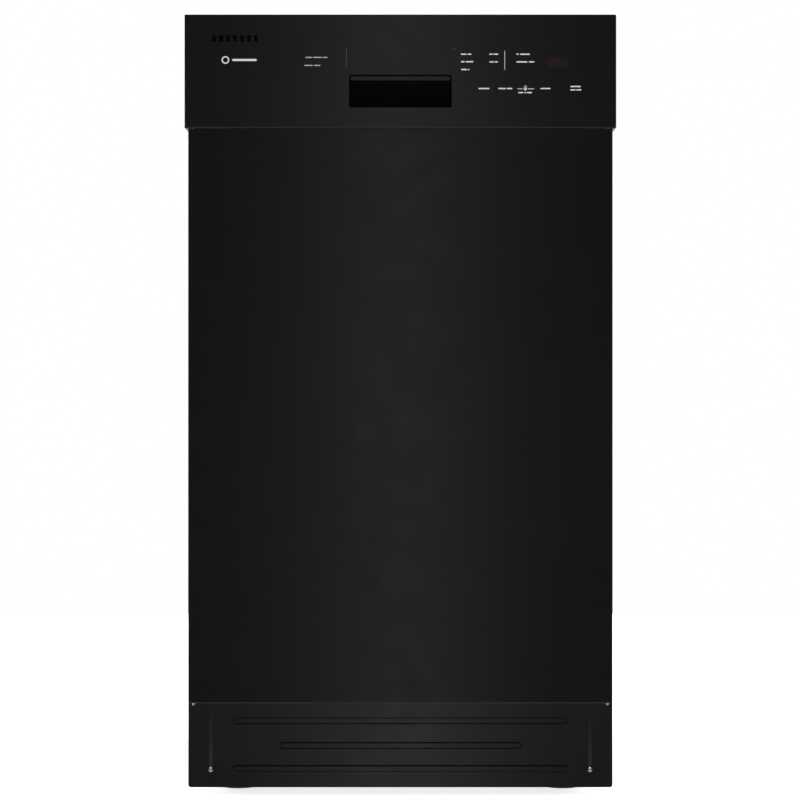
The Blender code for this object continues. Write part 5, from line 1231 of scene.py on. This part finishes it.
def build_blanket():
    """The felt wrap, quilted by its rows of stud fixings."""
    low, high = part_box("sound_blanket")
    half, top = high.x - 0.0035, high.z - 0.0035
    section = tub_section(half, top, low.z + 0.002, 0.030)
    ys = steps(low.y + 0.002, high.y - 0.002, 0.011)
    bm = bmesh.new()
    rows = []
    for y in ys:
        row = []
        for i, (x, z) in enumerate(section):
            puff = 0.5 + 0.5 * abs(
                math.sin(math.pi * (y - low.y) / 0.130)
            ) ** 0.5 * abs(math.sin(math.pi * i / 9.0)) ** 0.5
            thick = 0.0010 + 0.0022 * puff + 0.0003 * math.sin(91 * y + 3.7 * i)
            before, after = section[max(0, i - 1)], section[min(len(section) - 1, i + 1)]
            along = Vector((after[0] - before[0], after[1] - before[1])).normalized()
            out = Vector((-along.y, along.x))
            row.append((Vector((x, y, z)), Vector((out.x, 0, out.y)), thick))
        rows.append(row)
    outer = [[bm.verts.new(p + n * t) for p, n, t in row] for row in rows]
    inner = [[bm.verts.new(p - n * 0.0030) for p, n, t in row] for row in rows]
    count = len(section)
    for j in range(len(ys) - 1):
        for i in range(count - 1):
            bm.faces.new((outer[j][i], outer[j][i + 1], outer[j + 1][i + 1], outer[j + 1][i]))
            bm.faces.new((inner[j][i + 1], inner[j][i], inner[j + 1][i], inner[j + 1][i + 1]))
    for a, b in ((0, 0), (-1, -1)):
        for i in range(count - 1):
            bm.faces.new((outer[a][i], inner[b][i], inner[b][i + 1], outer[a][i + 1]))
        for j in range(len(ys) - 1):
            bm.faces.new((outer[j][a], outer[j + 1][a], inner[j + 1][b], inner[j][b]))
    bmesh.ops.recalc_face_normals(bm, faces=bm.faces)
    blanket = piece("felt_wrap", bm, "felt", "cabinet", 60.0, ("sound_blanket",))


# ---------------------------------------------------------------- racks
def rack_frame(name):
    """(half width, front, rear) at the floor and rim, with the two heights, read from the CAD rack."""
    return {
        "lower_rack": ((0.184, -0.208, 0.236), (0.198, -0.232, 0.250), 0.143, 0.290),
        "upper_rack": ((0.180, -0.222, 0.232), (0.190, -0.229, 0.238), 0.497, 0.610),
    }[name]


def ring_at(frame_of, z, out=0.0):
    foot, top, floor, rim = frame_of
    t = (z - floor) / (rim - floor)
    half, front, rear = (a + (b - a) * t for a, b in zip(foot, top))
    points = [
        (-half - out, front - out, z), (half + out, front - out, z), (half + out, rear + out, z),
        (-half - out, rear + out, z),
    ]
    return eased(points, 0.016, 6, closed=True)


def cross_wires(frame_of, ys):
    (fx, _, _), (tx, _, _), floor, rim = frame_of
    return [eased([(-tx, y, rim), (-fx, y, floor), (fx, y, floor), (tx, y, rim)], 0.012, 4) for y in ys]


def long_wires(frame_of, xs, lift=0.0030):
    (_, f0, f1), (_, t0, t1), floor, rim = frame_of
    z = floor + lift
    return [eased([(x, t0, rim), (x, f0, z), (x, f1, z), (x, t1, rim)], 0.012, 4) for x in xs]


def plate_tines(xs, ys, floor, height, lean=0.010, wide=0.008):
    """Hairpins of wire for plates to lean on."""
    out = []
    for x in xs:
        for y in ys:
            base = floor + 0.001
            out.append(
                eased(
                    [
                        (x - wide, y, base), (x - wide * 0.25, y + lean, base + height),
                        (x + wide * 0.25, y + lean, base + height), (x + wide, y, base),
                    ],
                    0.004, 4,
                )
            )
    return out


def rack_wire(rack, part, paths, radius, **more):
    wire(f"{rack}_{part}", paths, radius, "vinyl", rack, "rack_vinyl", **more)


def build_lower_rack():
    shape = rack_frame("lower_rack")
    _, _, floor, rim = shape
    thin = 0.0016
    rack_wire(
        "lower_rack", "crosswires", cross_wires(shape, steps(-0.188, 0.218, 0.0205)), thin,
        stands_for=("lower_rack",),
    )
    rack_wire("lower_rack", "longwires", long_wires(shape, steps(-0.165, 0.165, 0.033)), thin)
    rack_wire(
        "lower_rack", "rings", [ring_at(shape, z) for z in (floor + 0.016, floor + 0.060, floor + 0.104)],
        0.0018, closed=True,
    )
    rack_wire("lower_rack", "rim", [ring_at(shape, rim)], 0.0027, closed=True, sides=3)
    rows = plate_tines((-0.120, -0.048), steps(-0.165, 0.200, 0.0235), floor, 0.078)
    rack_wire("lower_rack", "tines", rows, 0.0014)
    inner = [
        [(x, -0.178, floor + 0.005), (x, 0.212, floor + 0.005)] for x in (-0.128, -0.112, -0.056, -0.040)
    ]
    rack_wire("lower_rack", "tine_bars", inner, 0.0017)
    grip = [
        eased(
            [
                (-0.060, -0.2325, rim), (-0.052, -0.2335, rim - 0.026), (0.052, -0.2335, rim - 0.026),
                (0.060, -0.2325, rim),
            ],
            0.010, 5,
        )
    ]
    rack_wire("lower_rack", "grip", grip, 0.0022)
    carriers = []
    for s in SIDES.values():
        for y in WHEEL_YS:
            x0, x1 = sorted((s * 0.1805, s * 0.1880))
            carriers.append(
                blocks(((x0, y - 0.010, 0.1270), (x1, y + 0.010, floor + 0.021)), radius=0.0018, segments=3)
            )
            axle = bar((s * 0.1850, y, AXLE_Z), (s * 0.2003, y, AXLE_Z), 0.0030, 24)
            carriers.append(axle)
            cap = bar((s * 0.1996, y, AXLE_Z), (s * 0.2010, y, AXLE_Z), 0.0046, 24, 0.0036)
            carriers.append(cap)
    piece("wheel_carriers", merged(carriers), "grey", "lower_rack")
    for name in SIDES:
        for end in ("front", "rear"):
            build_wheel(f"rack_wheel_{end}_{name}")


def build_wheel(node):
    """A rimmed wheel with a hub and six webs."""
    low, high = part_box(node)
    x, y, z = (low + high) / 2
    outer = (high.z - low.z) / 2
    half = (high.x - low.x) / 2
    rim = (
        (outer - 0.0030, -half), (outer - 0.0006, -half), (outer, -half + 0.0008), (outer, half - 0.0008),
        (outer - 0.0006, half), (outer - 0.0030, half), (outer - 0.0030, -half),
    )
    hub = ((0.0036, -half), (0.0062, -half), (0.0062, half), (0.0036, half), (0.0036, -half))
    web = (
        (0.0050, -0.0012), (outer - 0.0015, -0.0012), (outer - 0.0015, 0.0012), (0.0050, 0.0012),
        (0.0050, -0.0012),
    )
    shapes = [lathe(p, (x, y, z), "X", 48) for p in (rim, hub, web)]
    for i in range(6):
        a = math.radians(60 * i)
        spoke = blocks(
            ((x - half + 0.0012, -0.0007, 0.0055), (x + half - 0.0012, 0.0007, outer - 0.0022)),
            radius=0.0003,
        )
        turn = Matrix.Translation((0, y, z)) @ Matrix.Rotation(a, 4, "X")
        bmesh.ops.transform(spoke, matrix=turn, verts=spoke.verts)
        shapes.append(spoke)
    piece(f"roller_{node}", merged(shapes), "grey", node, 40.0, (node,))


def build_upper_rack():
    shape = rack_frame("upper_rack")
    _, _, floor, rim = shape
    thin = 0.0016
    rack_wire(
        "upper_rack", "crosswires", cross_wires(shape, steps(-0.200, 0.210, 0.0205)), thin,
        stands_for=("upper_rack",),
    )
    xs = (-0.158, -0.132, -0.100, -0.068, -0.034, 0.034, 0.068, 0.100, 0.132, 0.158)
    rack_wire("upper_rack", "longwires", long_wires(shape, xs), thin)
    rack_wire(
        "upper_rack", "rings", [ring_at(shape, z) for z in (floor + 0.014, ROLLER_Z)], 0.0018, closed=True,
    )
    rack_wire("upper_rack", "rim", [ring_at(shape, rim)], 0.0027, closed=True, sides=3)
    rows = plate_tines((0.050, 0.116), steps(-0.185, 0.205, 0.026), floor, 0.050, 0.006, 0.007)
    rack_wire("upper_rack", "tines", rows, 0.0014)
    rollers = []
    for s in SIDES.values():
        for y in ROLLER_YS:
            x0, x1 = sorted((s * 0.1865, s * 0.1935))
            rollers.append(
                blocks(((x0, y - 0.009, 0.5640), (x1, y + 0.009, 0.5810)), radius=0.0016, segments=3)
            )
            profile = (
                (0, 0), (0.0070, 0), (0.0070, 0.0042), (0.0062, 0.0050), (0.0030, 0.0050), (0.0026, 0.0044),
                (0, 0.0044),
            )
            wheel = lathe([(r, s * (0.1990 + h)) for r, h in profile], (0, y, ROLLER_Z), "X", 32)
            rollers.append(wheel)
            pin = bar((s * 0.1930, y, ROLLER_Z), (s * 0.1995, y, ROLLER_Z), 0.0030, 20)
            rollers.append(pin)
    piece("rack_rollers", merged(rollers), "grey", "upper_rack")
    lugs = []
    for y0, y1 in ((-0.1895, -0.1866), (-0.0134, -0.0105)):
        outline = arc(SHELF_AXLE, 0.0052, -70, 70, 8) + [
            (-0.1770, 0.6120), (-0.1915, 0.6120), (-0.1915, 0.5990),
        ] + arc(SHELF_AXLE, 0.0052, 200, 290, 6)
        lugs.append(plate(outline, y0, y1))
    piece("shelf_lugs", merged(lugs), "vinyl", "upper_rack")


def build_shelf():
    """The fold-up cup shelf: a moulded frame with slats and a scalloped front for stems."""
    low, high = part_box("cup_shelf")
    (x0, z), x1 = SHELF_AXLE, high.x
    y0, y1 = -0.185, -0.015
    count, scallop = 5, 0.006
    edge = []
    for i in range(count * 8 + 1):
        y = y0 + (y1 - y0) * i / (count * 8)
        edge.append((x1 - scallop * abs(math.sin(math.pi * i / 8)) ** 0.7 * 0.8, y))
    outline = [(x0, y0), *edge, (x0, y1)]
    body = plate(outline, z - 0.0013, z + 0.0013, "Z")
    slots = []
    for i in range(6):
        y = y0 + 0.0035 + 0.0280 * i
        slots.append(
            plate(
                rounded_rectangle((x0 + 0.010, y), (x1 - 0.014, y + 0.0225), 0.004, 4), z - 0.01, z + 0.01,
                "Z",
            )
        )
    barrel = bar((x0, -0.186, z), (x0, -0.014, z), 0.0026, 20)
    pin = bar((x0, low.y, z), (x0, high.y, z), 0.0016, 16)
    mesh = worked(body, cuts=[merged(slots)], joins=[barrel, pin], edge=0.0004)
    piece("stem_shelf", mesh, "vinyl", "cup_shelf", 35.0, ("cup_shelf",))


def build_rails():
    for name, s in SIDES.items():
        node = f"rack_rail_{name}"
        low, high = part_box(node)
        near, far = sorted((abs(low.x), abs(high.x)))
        sheet, lip = 0.0012, 0.0040
        mid = (low.z + high.z) / 2
        half = (high.z - low.z) / 2
        line = [
            (near, half - lip), (near, half - 0.0012), (near + 0.0012, half), (far - 0.0012, half),
            (far, half - 0.0012),
        ]
        line += [(x, -z) for x, z in line[::-1]]
        bm = bmesh.new()
        ends = [[bm.verts.new((s * x, y, mid + z)) for x, z in line] for y in (low.y, high.y)]
        bridge(bm, ends, False)
        bmesh.ops.recalc_face_normals(bm, faces=bm.faces)
        wall = min(bm.faces, key=lambda f: -abs(f.calc_center_median().x))
        if wall.normal.x * s < 0:
            bmesh.ops.reverse_faces(bm, faces=bm.faces)
        piece(
            f"channel_{name}", worked(bm, wall=sheet, edge=0.0002), "bright", "rack_rails", 35.0,
            (node,),
        )
        stops = []
        for y0, y1 in ((low.y - 0.0030, low.y + 0.010), (high.y - 0.010, high.y + 0.0030)):
            x0, x1 = sorted((s * (near - 0.0003), s * (far + 0.0003)))
            stops.append(
                blocks(
                    ((x0, y0, mid - half - 0.0006), (x1, y1, mid - 0.0078)),
                    ((x0, y0, mid + 0.0078), (x1, y1, mid + half + 0.0006)), radius=0.0009,
                )
            )
        piece(f"channel_caps_{name}", merged(stops), "grey", "rack_rails")


def build_basket():
    """The cutlery basket: ribbed lattice walls, a slotted floor, dividers and a carrying bridge."""
    low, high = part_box("silverware_basket")
    x0, y0, z0 = low
    x1, y1, z1 = high.x, high.y, 0.262
    ribs = []
    third = (y1 - y0) / 3
    for z in (z0 + 0.001, z0 + 0.034, z0 + 0.068, z1 - 0.0035):
        tall = 0.0045 if z > z1 - 0.01 else 0.0026
        for a, b in (
            ((x0, y0, z), (x0 + 0.0022, y1, z + tall)), ((x1 - 0.0022, y0, z), (x1, y1, z + tall)),
            ((x0, y0, z), (x1, y0 + 0.0022, z + tall)), ((x0, y1 - 0.0022, z), (x1, y1, z + tall)),
        ):
            ribs.append((a, b))
    for y in steps(y0, y1 - 0.0020, 0.0111):
        ribs.append(((x0 + 0.0002, y, z0 + 0.001), (x0 + 0.0020, y + 0.0020, z1)))
        ribs.append(((x1 - 0.0020, y, z0 + 0.001), (x1 - 0.0002, y + 0.0020, z1)))
        ribs.append(((x0 + 0.001, y, z0), (x1 - 0.001, y + 0.0020, z0 + 0.0018)))
    for x in steps(x0, x1 - 0.0020, 0.0106):
        for y in (y0 + 0.0002, y0 + third - 0.0008, y0 + 2 * third - 0.0008, y1 - 0.0018):
            ribs.append(((x, y, z0 + 0.001), (x + 0.0020, y + 0.0016, z1 - 0.001)))
        ribs.append(((x, y0 + 0.001, z0 + 0.0002), (x + 0.0020, y1 - 0.001, z0 + 0.0020)))
    for i in (1, 2):
        y = y0 + third * i
        for z in (z0 + 0.034, z0 + 0.068, z1 - 0.0060):
            ribs.append(((x0, y - 0.001, z), (x1, y + 0.001, z + 0.0030)))
    piece(
        "basket_lattice", blocks(*ribs, radius=0.00035, segments=1), "grey", "lower_rack",
        35.0, ("silverware_basket",),
    )
    x = (x0 + x1) / 2
    ya, yb = y0 + third, y0 + 2 * third
    top = high.z
    outer = [
        (ya - 0.0020, z1 - 0.030), (ya - 0.0020, top - 0.010),
        *arc((ya + 0.008, top - 0.010), 0.010, 180, 90, 6), *arc((yb - 0.008, top - 0.010), 0.010, 90, 0, 6),
        (yb + 0.0020, z1 - 0.030),
    ]
    inner = [
        (yb - 0.0020, z1 - 0.030), *arc((yb - 0.008, top - 0.012), 0.006, 0, 90, 6),
        *arc((ya + 0.008, top - 0.012), 0.006, 90, 180, 6), (ya + 0.0020, z1 - 0.030),
    ]
    bridge = plate(outer + inner, x - 0.0065, x + 0.0065, "X")
    piece("basket_bridge", worked(bridge, edge=0.0012, segments=3), "grey", "lower_rack")


# ---------------------------------------------------------------- water side
def build_arm(node):
    """A crowned spray arm with a hub, end caps and slanted nozzles along both wings."""
    low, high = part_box(node)
    cx, cy = 0.0, (low.y + high.y) / 2
    reach = (high.x - low.x) / 2
    z0, z1 = low.z + 0.001, high.z - 0.001
    mid = (z0 + z1) / 2
    bm = bmesh.new()
    tip = (0.0, 0.0006, 0.0024, 0.0055, 0.0100)
    stations = [-reach + d for d in tip] + steps(-reach + 0.016, reach - 0.016, 0.012)
    stations += [reach - d for d in tip[::-1]]
    rows = []
    for x in stations:
        along = abs(x) / reach
        end = max(0.0, (reach - abs(x)) / 0.010)
        swell = math.sqrt(max(0.0, 1 - (1 - min(1.0, end)) ** 2))
        width = (0.0170 - 0.0070 * along) * swell + 0.0004
        height = (z1 - z0) / 2 * (0.25 + 0.75 * swell)
        row = []
        for i in range(20):
            a = 2 * math.pi * i / 20
            c, s = math.cos(a), math.sin(a)
            row.append(
                bm.verts.new(
                    (
                        cx + x, cy + width * math.copysign(abs(c) ** 0.75, c),
                        mid + height * math.copysign(abs(s) ** 0.62, s),
                    )
                )
            )
        rows.append(row)
    bridge(bm, rows, True)
    bm.faces.new(rows[0])
    bm.faces.new(rows[-1])
    bmesh.ops.recalc_face_normals(bm, faces=bm.faces)
    hub = bar((cx, cy, low.z), (cx, cy, high.z), 0.0212, 48)
    bore = bar((cx, cy, low.z - 0.01), (cx, cy, high.z + 0.01), 0.0121, 48)
    nozzles, lips = [], []
    for side in (-1, 1):
        for k, x in enumerate((0.036, 0.058, 0.082, 0.108, 0.134, 0.158)):
            y = cy + (0.0040 if (k + (side > 0)) % 2 else -0.0040)
            hole = bar((side * x, y, z1 - 0.003), (side * x + side * 0.0010, y, z1 + 0.006), 0.0016, 14)
            nozzles.append(hole)
            lip = lathe(
                ((0.0018, 0.0), (0.0030, 0.0), (0.0026, 0.0009), (0.0018, 0.0009), (0.0018, 0.0)),
                (side * x, y, z1 - 0.0002), "Z", 18,
            )
            lips.append(lip)
    mesh = worked(bm, joins=[hub], cuts=[bore, merged(nozzles)], edge=0.0003)
    piece(f"{node}_moulding", mesh, "grey", node, 40.0, (node,))
    piece(f"{node}_jets", merged(lips), "dark", node)


def build_arms():
    for node in ("lower_spray_arm", "upper_spray_arm"):
        build_arm(node)


def build_sump_parts():
    """The perforated filter plate, the twist-out cylinder and the float."""
    low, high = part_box("filter_plate")
    cx, cy, radius = 0.0, (low.y + high.y) / 2, (high.x - low.x) / 2
    disc = lathe(
        (
            (0, 0.0), (radius - 0.004, 0.0), (radius, 0.0004), (radius, 0.0012), (radius - 0.003, 0.0018),
            (radius - 0.010, 0.0012), (0, 0.0014),
        ),
        (cx, cy, low.z), "Z", 72,
    )
    seat = bar((0, FILTER_Y, 0.08), (0, FILTER_Y, 0.13), 0.0346, 48)
    holes = bmesh.new()
    post_y = cy + 0.036
    for ix in range(-13, 14):
        for iy in range(-13, 14):
            x = ix * 0.0066 + (0.0033 if iy % 2 else 0)
            y = cy + iy * 0.0058
            near_filter = math.hypot(x, y - FILTER_Y) < 0.039
            near_post = math.hypot(x, y - post_y) < 0.021
            if math.hypot(x, y - cy) > radius - 0.014 or near_filter or near_post:
                continue
            rod(holes, (x, y, low.z - 0.003), (x, y, low.z + 0.005), 0.0017, 8)
    post = lathe(
        (
            (0, 0.0), (0.0185, 0.0), (0.0180, 0.006), (0.0150, high.z - low.z - 0.0155),
            (0.0115, high.z - low.z - 0.0150), (0.0115, high.z - low.z - 0.0012), (0.0104, high.z - low.z),
            (0, high.z - low.z),
        ),
        (0, post_y, low.z), "Z", 40,
    )
    mesh = worked(disc, cuts=[seat, holes], joins=[post])
    piece("sump_screen", mesh, "bright", "cabinet", 35.0, ("filter_plate",))

    low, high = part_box("filter_cylinder")
    x, y = (low.x + high.x) / 2, (low.y + high.y) / 2
    top, r = FILTER_TOP, 0.034
    profile = (
        (0, top - 0.006), (r - 0.0075, top - 0.006), (r - 0.0060, top - 0.0052), (r - 0.0045, top - 0.0005),
        (r - 0.0035, top), (r - 0.0008, top - 0.0004), (r, top - 0.0015), (r, top - 0.030),
        (r - 0.0040, low.z), (r - 0.0062, low.z), (r - 0.0024, top - 0.030), (r - 0.0034, top - 0.010),
        (0, top - 0.010),
    )
    body = lathe(profile, (x, y, 0), "Z", 64)
    mesh_holes = bmesh.new()
    for level in range(5):
        for i in range(24):
            a = math.radians(15 * i + 7.5 * (level % 2))
            z = top - 0.014 - 0.0066 * level
            rod(
                mesh_holes, (x + (r - 0.007) * math.cos(a), y + (r - 0.007) * math.sin(a), z),
                (x + (r + 0.003) * math.cos(a), y + (r + 0.003) * math.sin(a), z), 0.0021, 8,
            )
    grip = blocks(
        ((x - 0.0280, y - 0.0028, top - 0.0070), (x + 0.0280, y + 0.0028, high.z)), radius=0.0012, segments=3,
    )
    piece(
        "filter_cup", worked(body, cuts=[mesh_holes], joins=[grip]), "grey", "filter_cylinder",
        35.0, ("filter_cylinder",),
    )

    low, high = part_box("overfill_float")
    x, y = (low.x + high.x) / 2, (low.y + high.y) / 2
    b = BASIN_Z
    profile = (
        (0, b + 0.0300), (0.0050, b + 0.0297), (0.0095, b + 0.0285), (0.0130, b + 0.0262),
        (0.0146, b + 0.0235), (0.0156, b + 0.0120), (0.0160, b + 0.0068), (0.0160, b + 0.0060),
        (0.0147, b + 0.0060), (0.0135, b + 0.0215), (0.0060, b + 0.0240), (0.0040, b + 0.0235),
        (0.0040, b - 0.0180), (0, b - 0.0180),
    )
    bell = lathe(profile, (x, y, 0), "Z", 40)
    slits = []
    for i in range(6):
        turn = Matrix.Translation((x, y, 0)) @ Matrix.Rotation(math.radians(60 * i), 4, "Z")
        slit = blocks(((0.0120, -0.0010, b + 0.004), (0.0180, 0.0010, b + 0.0150)), radius=0)
        bmesh.ops.transform(slit, matrix=turn, verts=slit.verts)
        slits.append(slit)
    piece(
        "float_bell", worked(bell, cuts=[merged(slits)]), "grey", "overfill_float", 40.0,
        ("overfill_float",),
    )


def build_manifold():
    low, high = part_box("rack_manifold")
    z = 0.487
    cy = (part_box("upper_spray_arm")[0].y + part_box("upper_spray_arm")[1].y) / 2
    pipe = lathe(
        (
            (0, -high.y), (0.0050, -high.y), (0.0064, -high.y + 0.0006), (0.0060, -high.y + 0.0160),
            (0.0050, -high.y + 0.0180), (0.0050, -cy), (0, -cy),
        ),
        (0, 0, z), "Y", 32,
    )
    hub = lathe(
        (
            (0, low.z), (0.0102, low.z), (0.0115, low.z + 0.0012), (0.0115, low.z + 0.0150),
            (0.0160, low.z + 0.0152), (0.0160, z + 0.0035), (0.0135, z + 0.0060), (0, z + 0.0060),
        ),
        (0, cy, 0), "Z", 40,
    )
    clips = []
    for y in (0.090, 0.180):
        clips.append(
            blocks(
                ((-0.0095, y - 0.004, z - 0.0062), (0.0095, y + 0.004, z + 0.0078)), radius=0.0016,
                segments=3,
            )
        )
    piece(
        "arm_feed", worked(pipe, joins=[hub, *clips]), "grey", "upper_rack", 40.0,
        ("rack_manifold",),
    )


# ---------------------------------------------------------------- springs, feet and what stays as built
def build_springs():
    for name in SIDES:
        low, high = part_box(f"door_spring_{name}")
        x, z = (low.x + high.x) / 2, (low.z + high.z) / 2
        start, end = low.y, high.y
        turns, per = 26, 18
        radius = 0.0058
        hook = 0.010
        path = [(x, start - 0.002, z), (x, start + 0.004, z)]
        for i in range(turns * per + 1):
            a = 2 * math.pi * i / per
            y = start + hook + (end - start - 2 * hook) * i / (turns * per)
            path.append((x + radius * math.cos(a), y, z + radius * math.sin(a)))
        path += [(x, end - 0.004, z), (x, end + 0.010, z)]
        coil = wire(
            f"coil_{name}", [eased(path, 0.002, 2)], 0.0010, "zinc", None, "galvanised",
            stands_for=(f"door_spring_{name}",),
        )
        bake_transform(coil)
        low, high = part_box(f"spring_link_{name}")
        profile = (
            (0, -high.y), (0.0045, -high.y), (0.0060, -high.y + 0.0010), (0.0060, -high.y + 0.0032),
            (0.0030, -high.y + 0.0044), (0.0015, -high.y + 0.0060), (0.0015, -low.y), (0, -low.y),
        )
        piece(
            f"pull_{name}", lathe(profile, (x, 0, z), "Y", 24), "dark", f"spring_link_{name}",
            40.0, (f"spring_link_{name}",),
        )


def build_feet():
    """Screw feet: a threaded shank, a hex to turn and a pad."""
    for side in SIDES:
        for end in ("front", "rear"):
            node = f"foot_{end}_{side}"
            low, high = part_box(node)
            x, y = (low.x + high.x) / 2, (low.y + high.y) / 2
            pad = lathe(
                (
                    (0, 0.0), (0.0172, 0.0), (0.0180, 0.0008), (0.0180, 0.0042), (0.0170, 0.0050),
                    (0.0090, 0.0062), (0.0085, 0.0064), (0, 0.0064),
                ),
                (x, y, 0), "Z", 40,
            )
            shank = [(0, 0.0060)]
            z = 0.0066
            while z < 0.0700:
                shank += [(0.0033, z), (0.0040, z + 0.0008)]
                z += 0.0016
            shank += [(0.0030, 0.0718), (0, 0.0720)]
            thread = lathe(shank, (x, y, 0), "Z", 24)
            nut = bar((x, y, 0.0050), (x, y, 0.0076), 0.0085, 6)
            piece(
                f"levelling_{node}", merged([pad, thread, nut]), "dark", node, 35.0, (node,),
            )


KEPT = {
    "base": ("base_frame",),
    "zinc": (
        *(f"{part}_{side}" for part in ("hinge_bracket", "hinge_arm", "counter_bracket") for side in SIDES),
        "junction_box",
    ),
    "bright": ("strike_plate",),
    "board": ("control_board",),
    "heater": ("heating_element",),
    "grey": ("feed_pipe",),
    "dark": ("sump_housing", "wash_pump", "drain_pump"),
    "pale": ("inlet_valve",),
}


def finish_kept():
    """Pieces whose built shape already shows all it should only take their fine finish."""
    for finish, nodes in KEPT.items():
        for node in nodes:
            for holder in frame["nodes"][node].material_slots:
                holder.material = MAT[finish]


BLACK_SKIN = (
    "console_shell", "door_skin", "toe_plate", "pull_lever", "pocket_cup", "display_window", "unlit_digits",
)


def build_all():
    for build in (
        build_studio, build_console, build_pocket, build_print, build_display, build_outer_panel, build_liner,
        build_dispenser, build_vent, build_door_trim, build_kick_plate, build_tub_wrapper, build_tub_rear,
        build_tub_floor, build_seals, build_blanket, build_lower_rack, build_upper_rack, build_shelf,
        build_rails, build_basket, build_arms, build_sump_parts, build_manifold, build_springs, build_feet, finish_kept,
    ):
        build()


def spare_the_black_skin():
    """The high lights miss the glossy black outside, which mirrors the front lights alone."""
    receivers = bpy.data.collections.new("lit_from_above")
    for obj in bpy.context.scene.objects:
        if obj.type == "MESH" and obj.name not in BLACK_SKIN:
            receivers.objects.link(obj)
    pieces = receivers.copy()
    pieces.objects.unlink(bpy.data.objects["floor"])
    for name, lit in (("overhead", receivers), ("left", receivers), ("right", receivers), ("room", pieces)):
        bpy.data.objects[name].light_linking.receiver_collection = lit


build_all()
spare_the_black_skin()
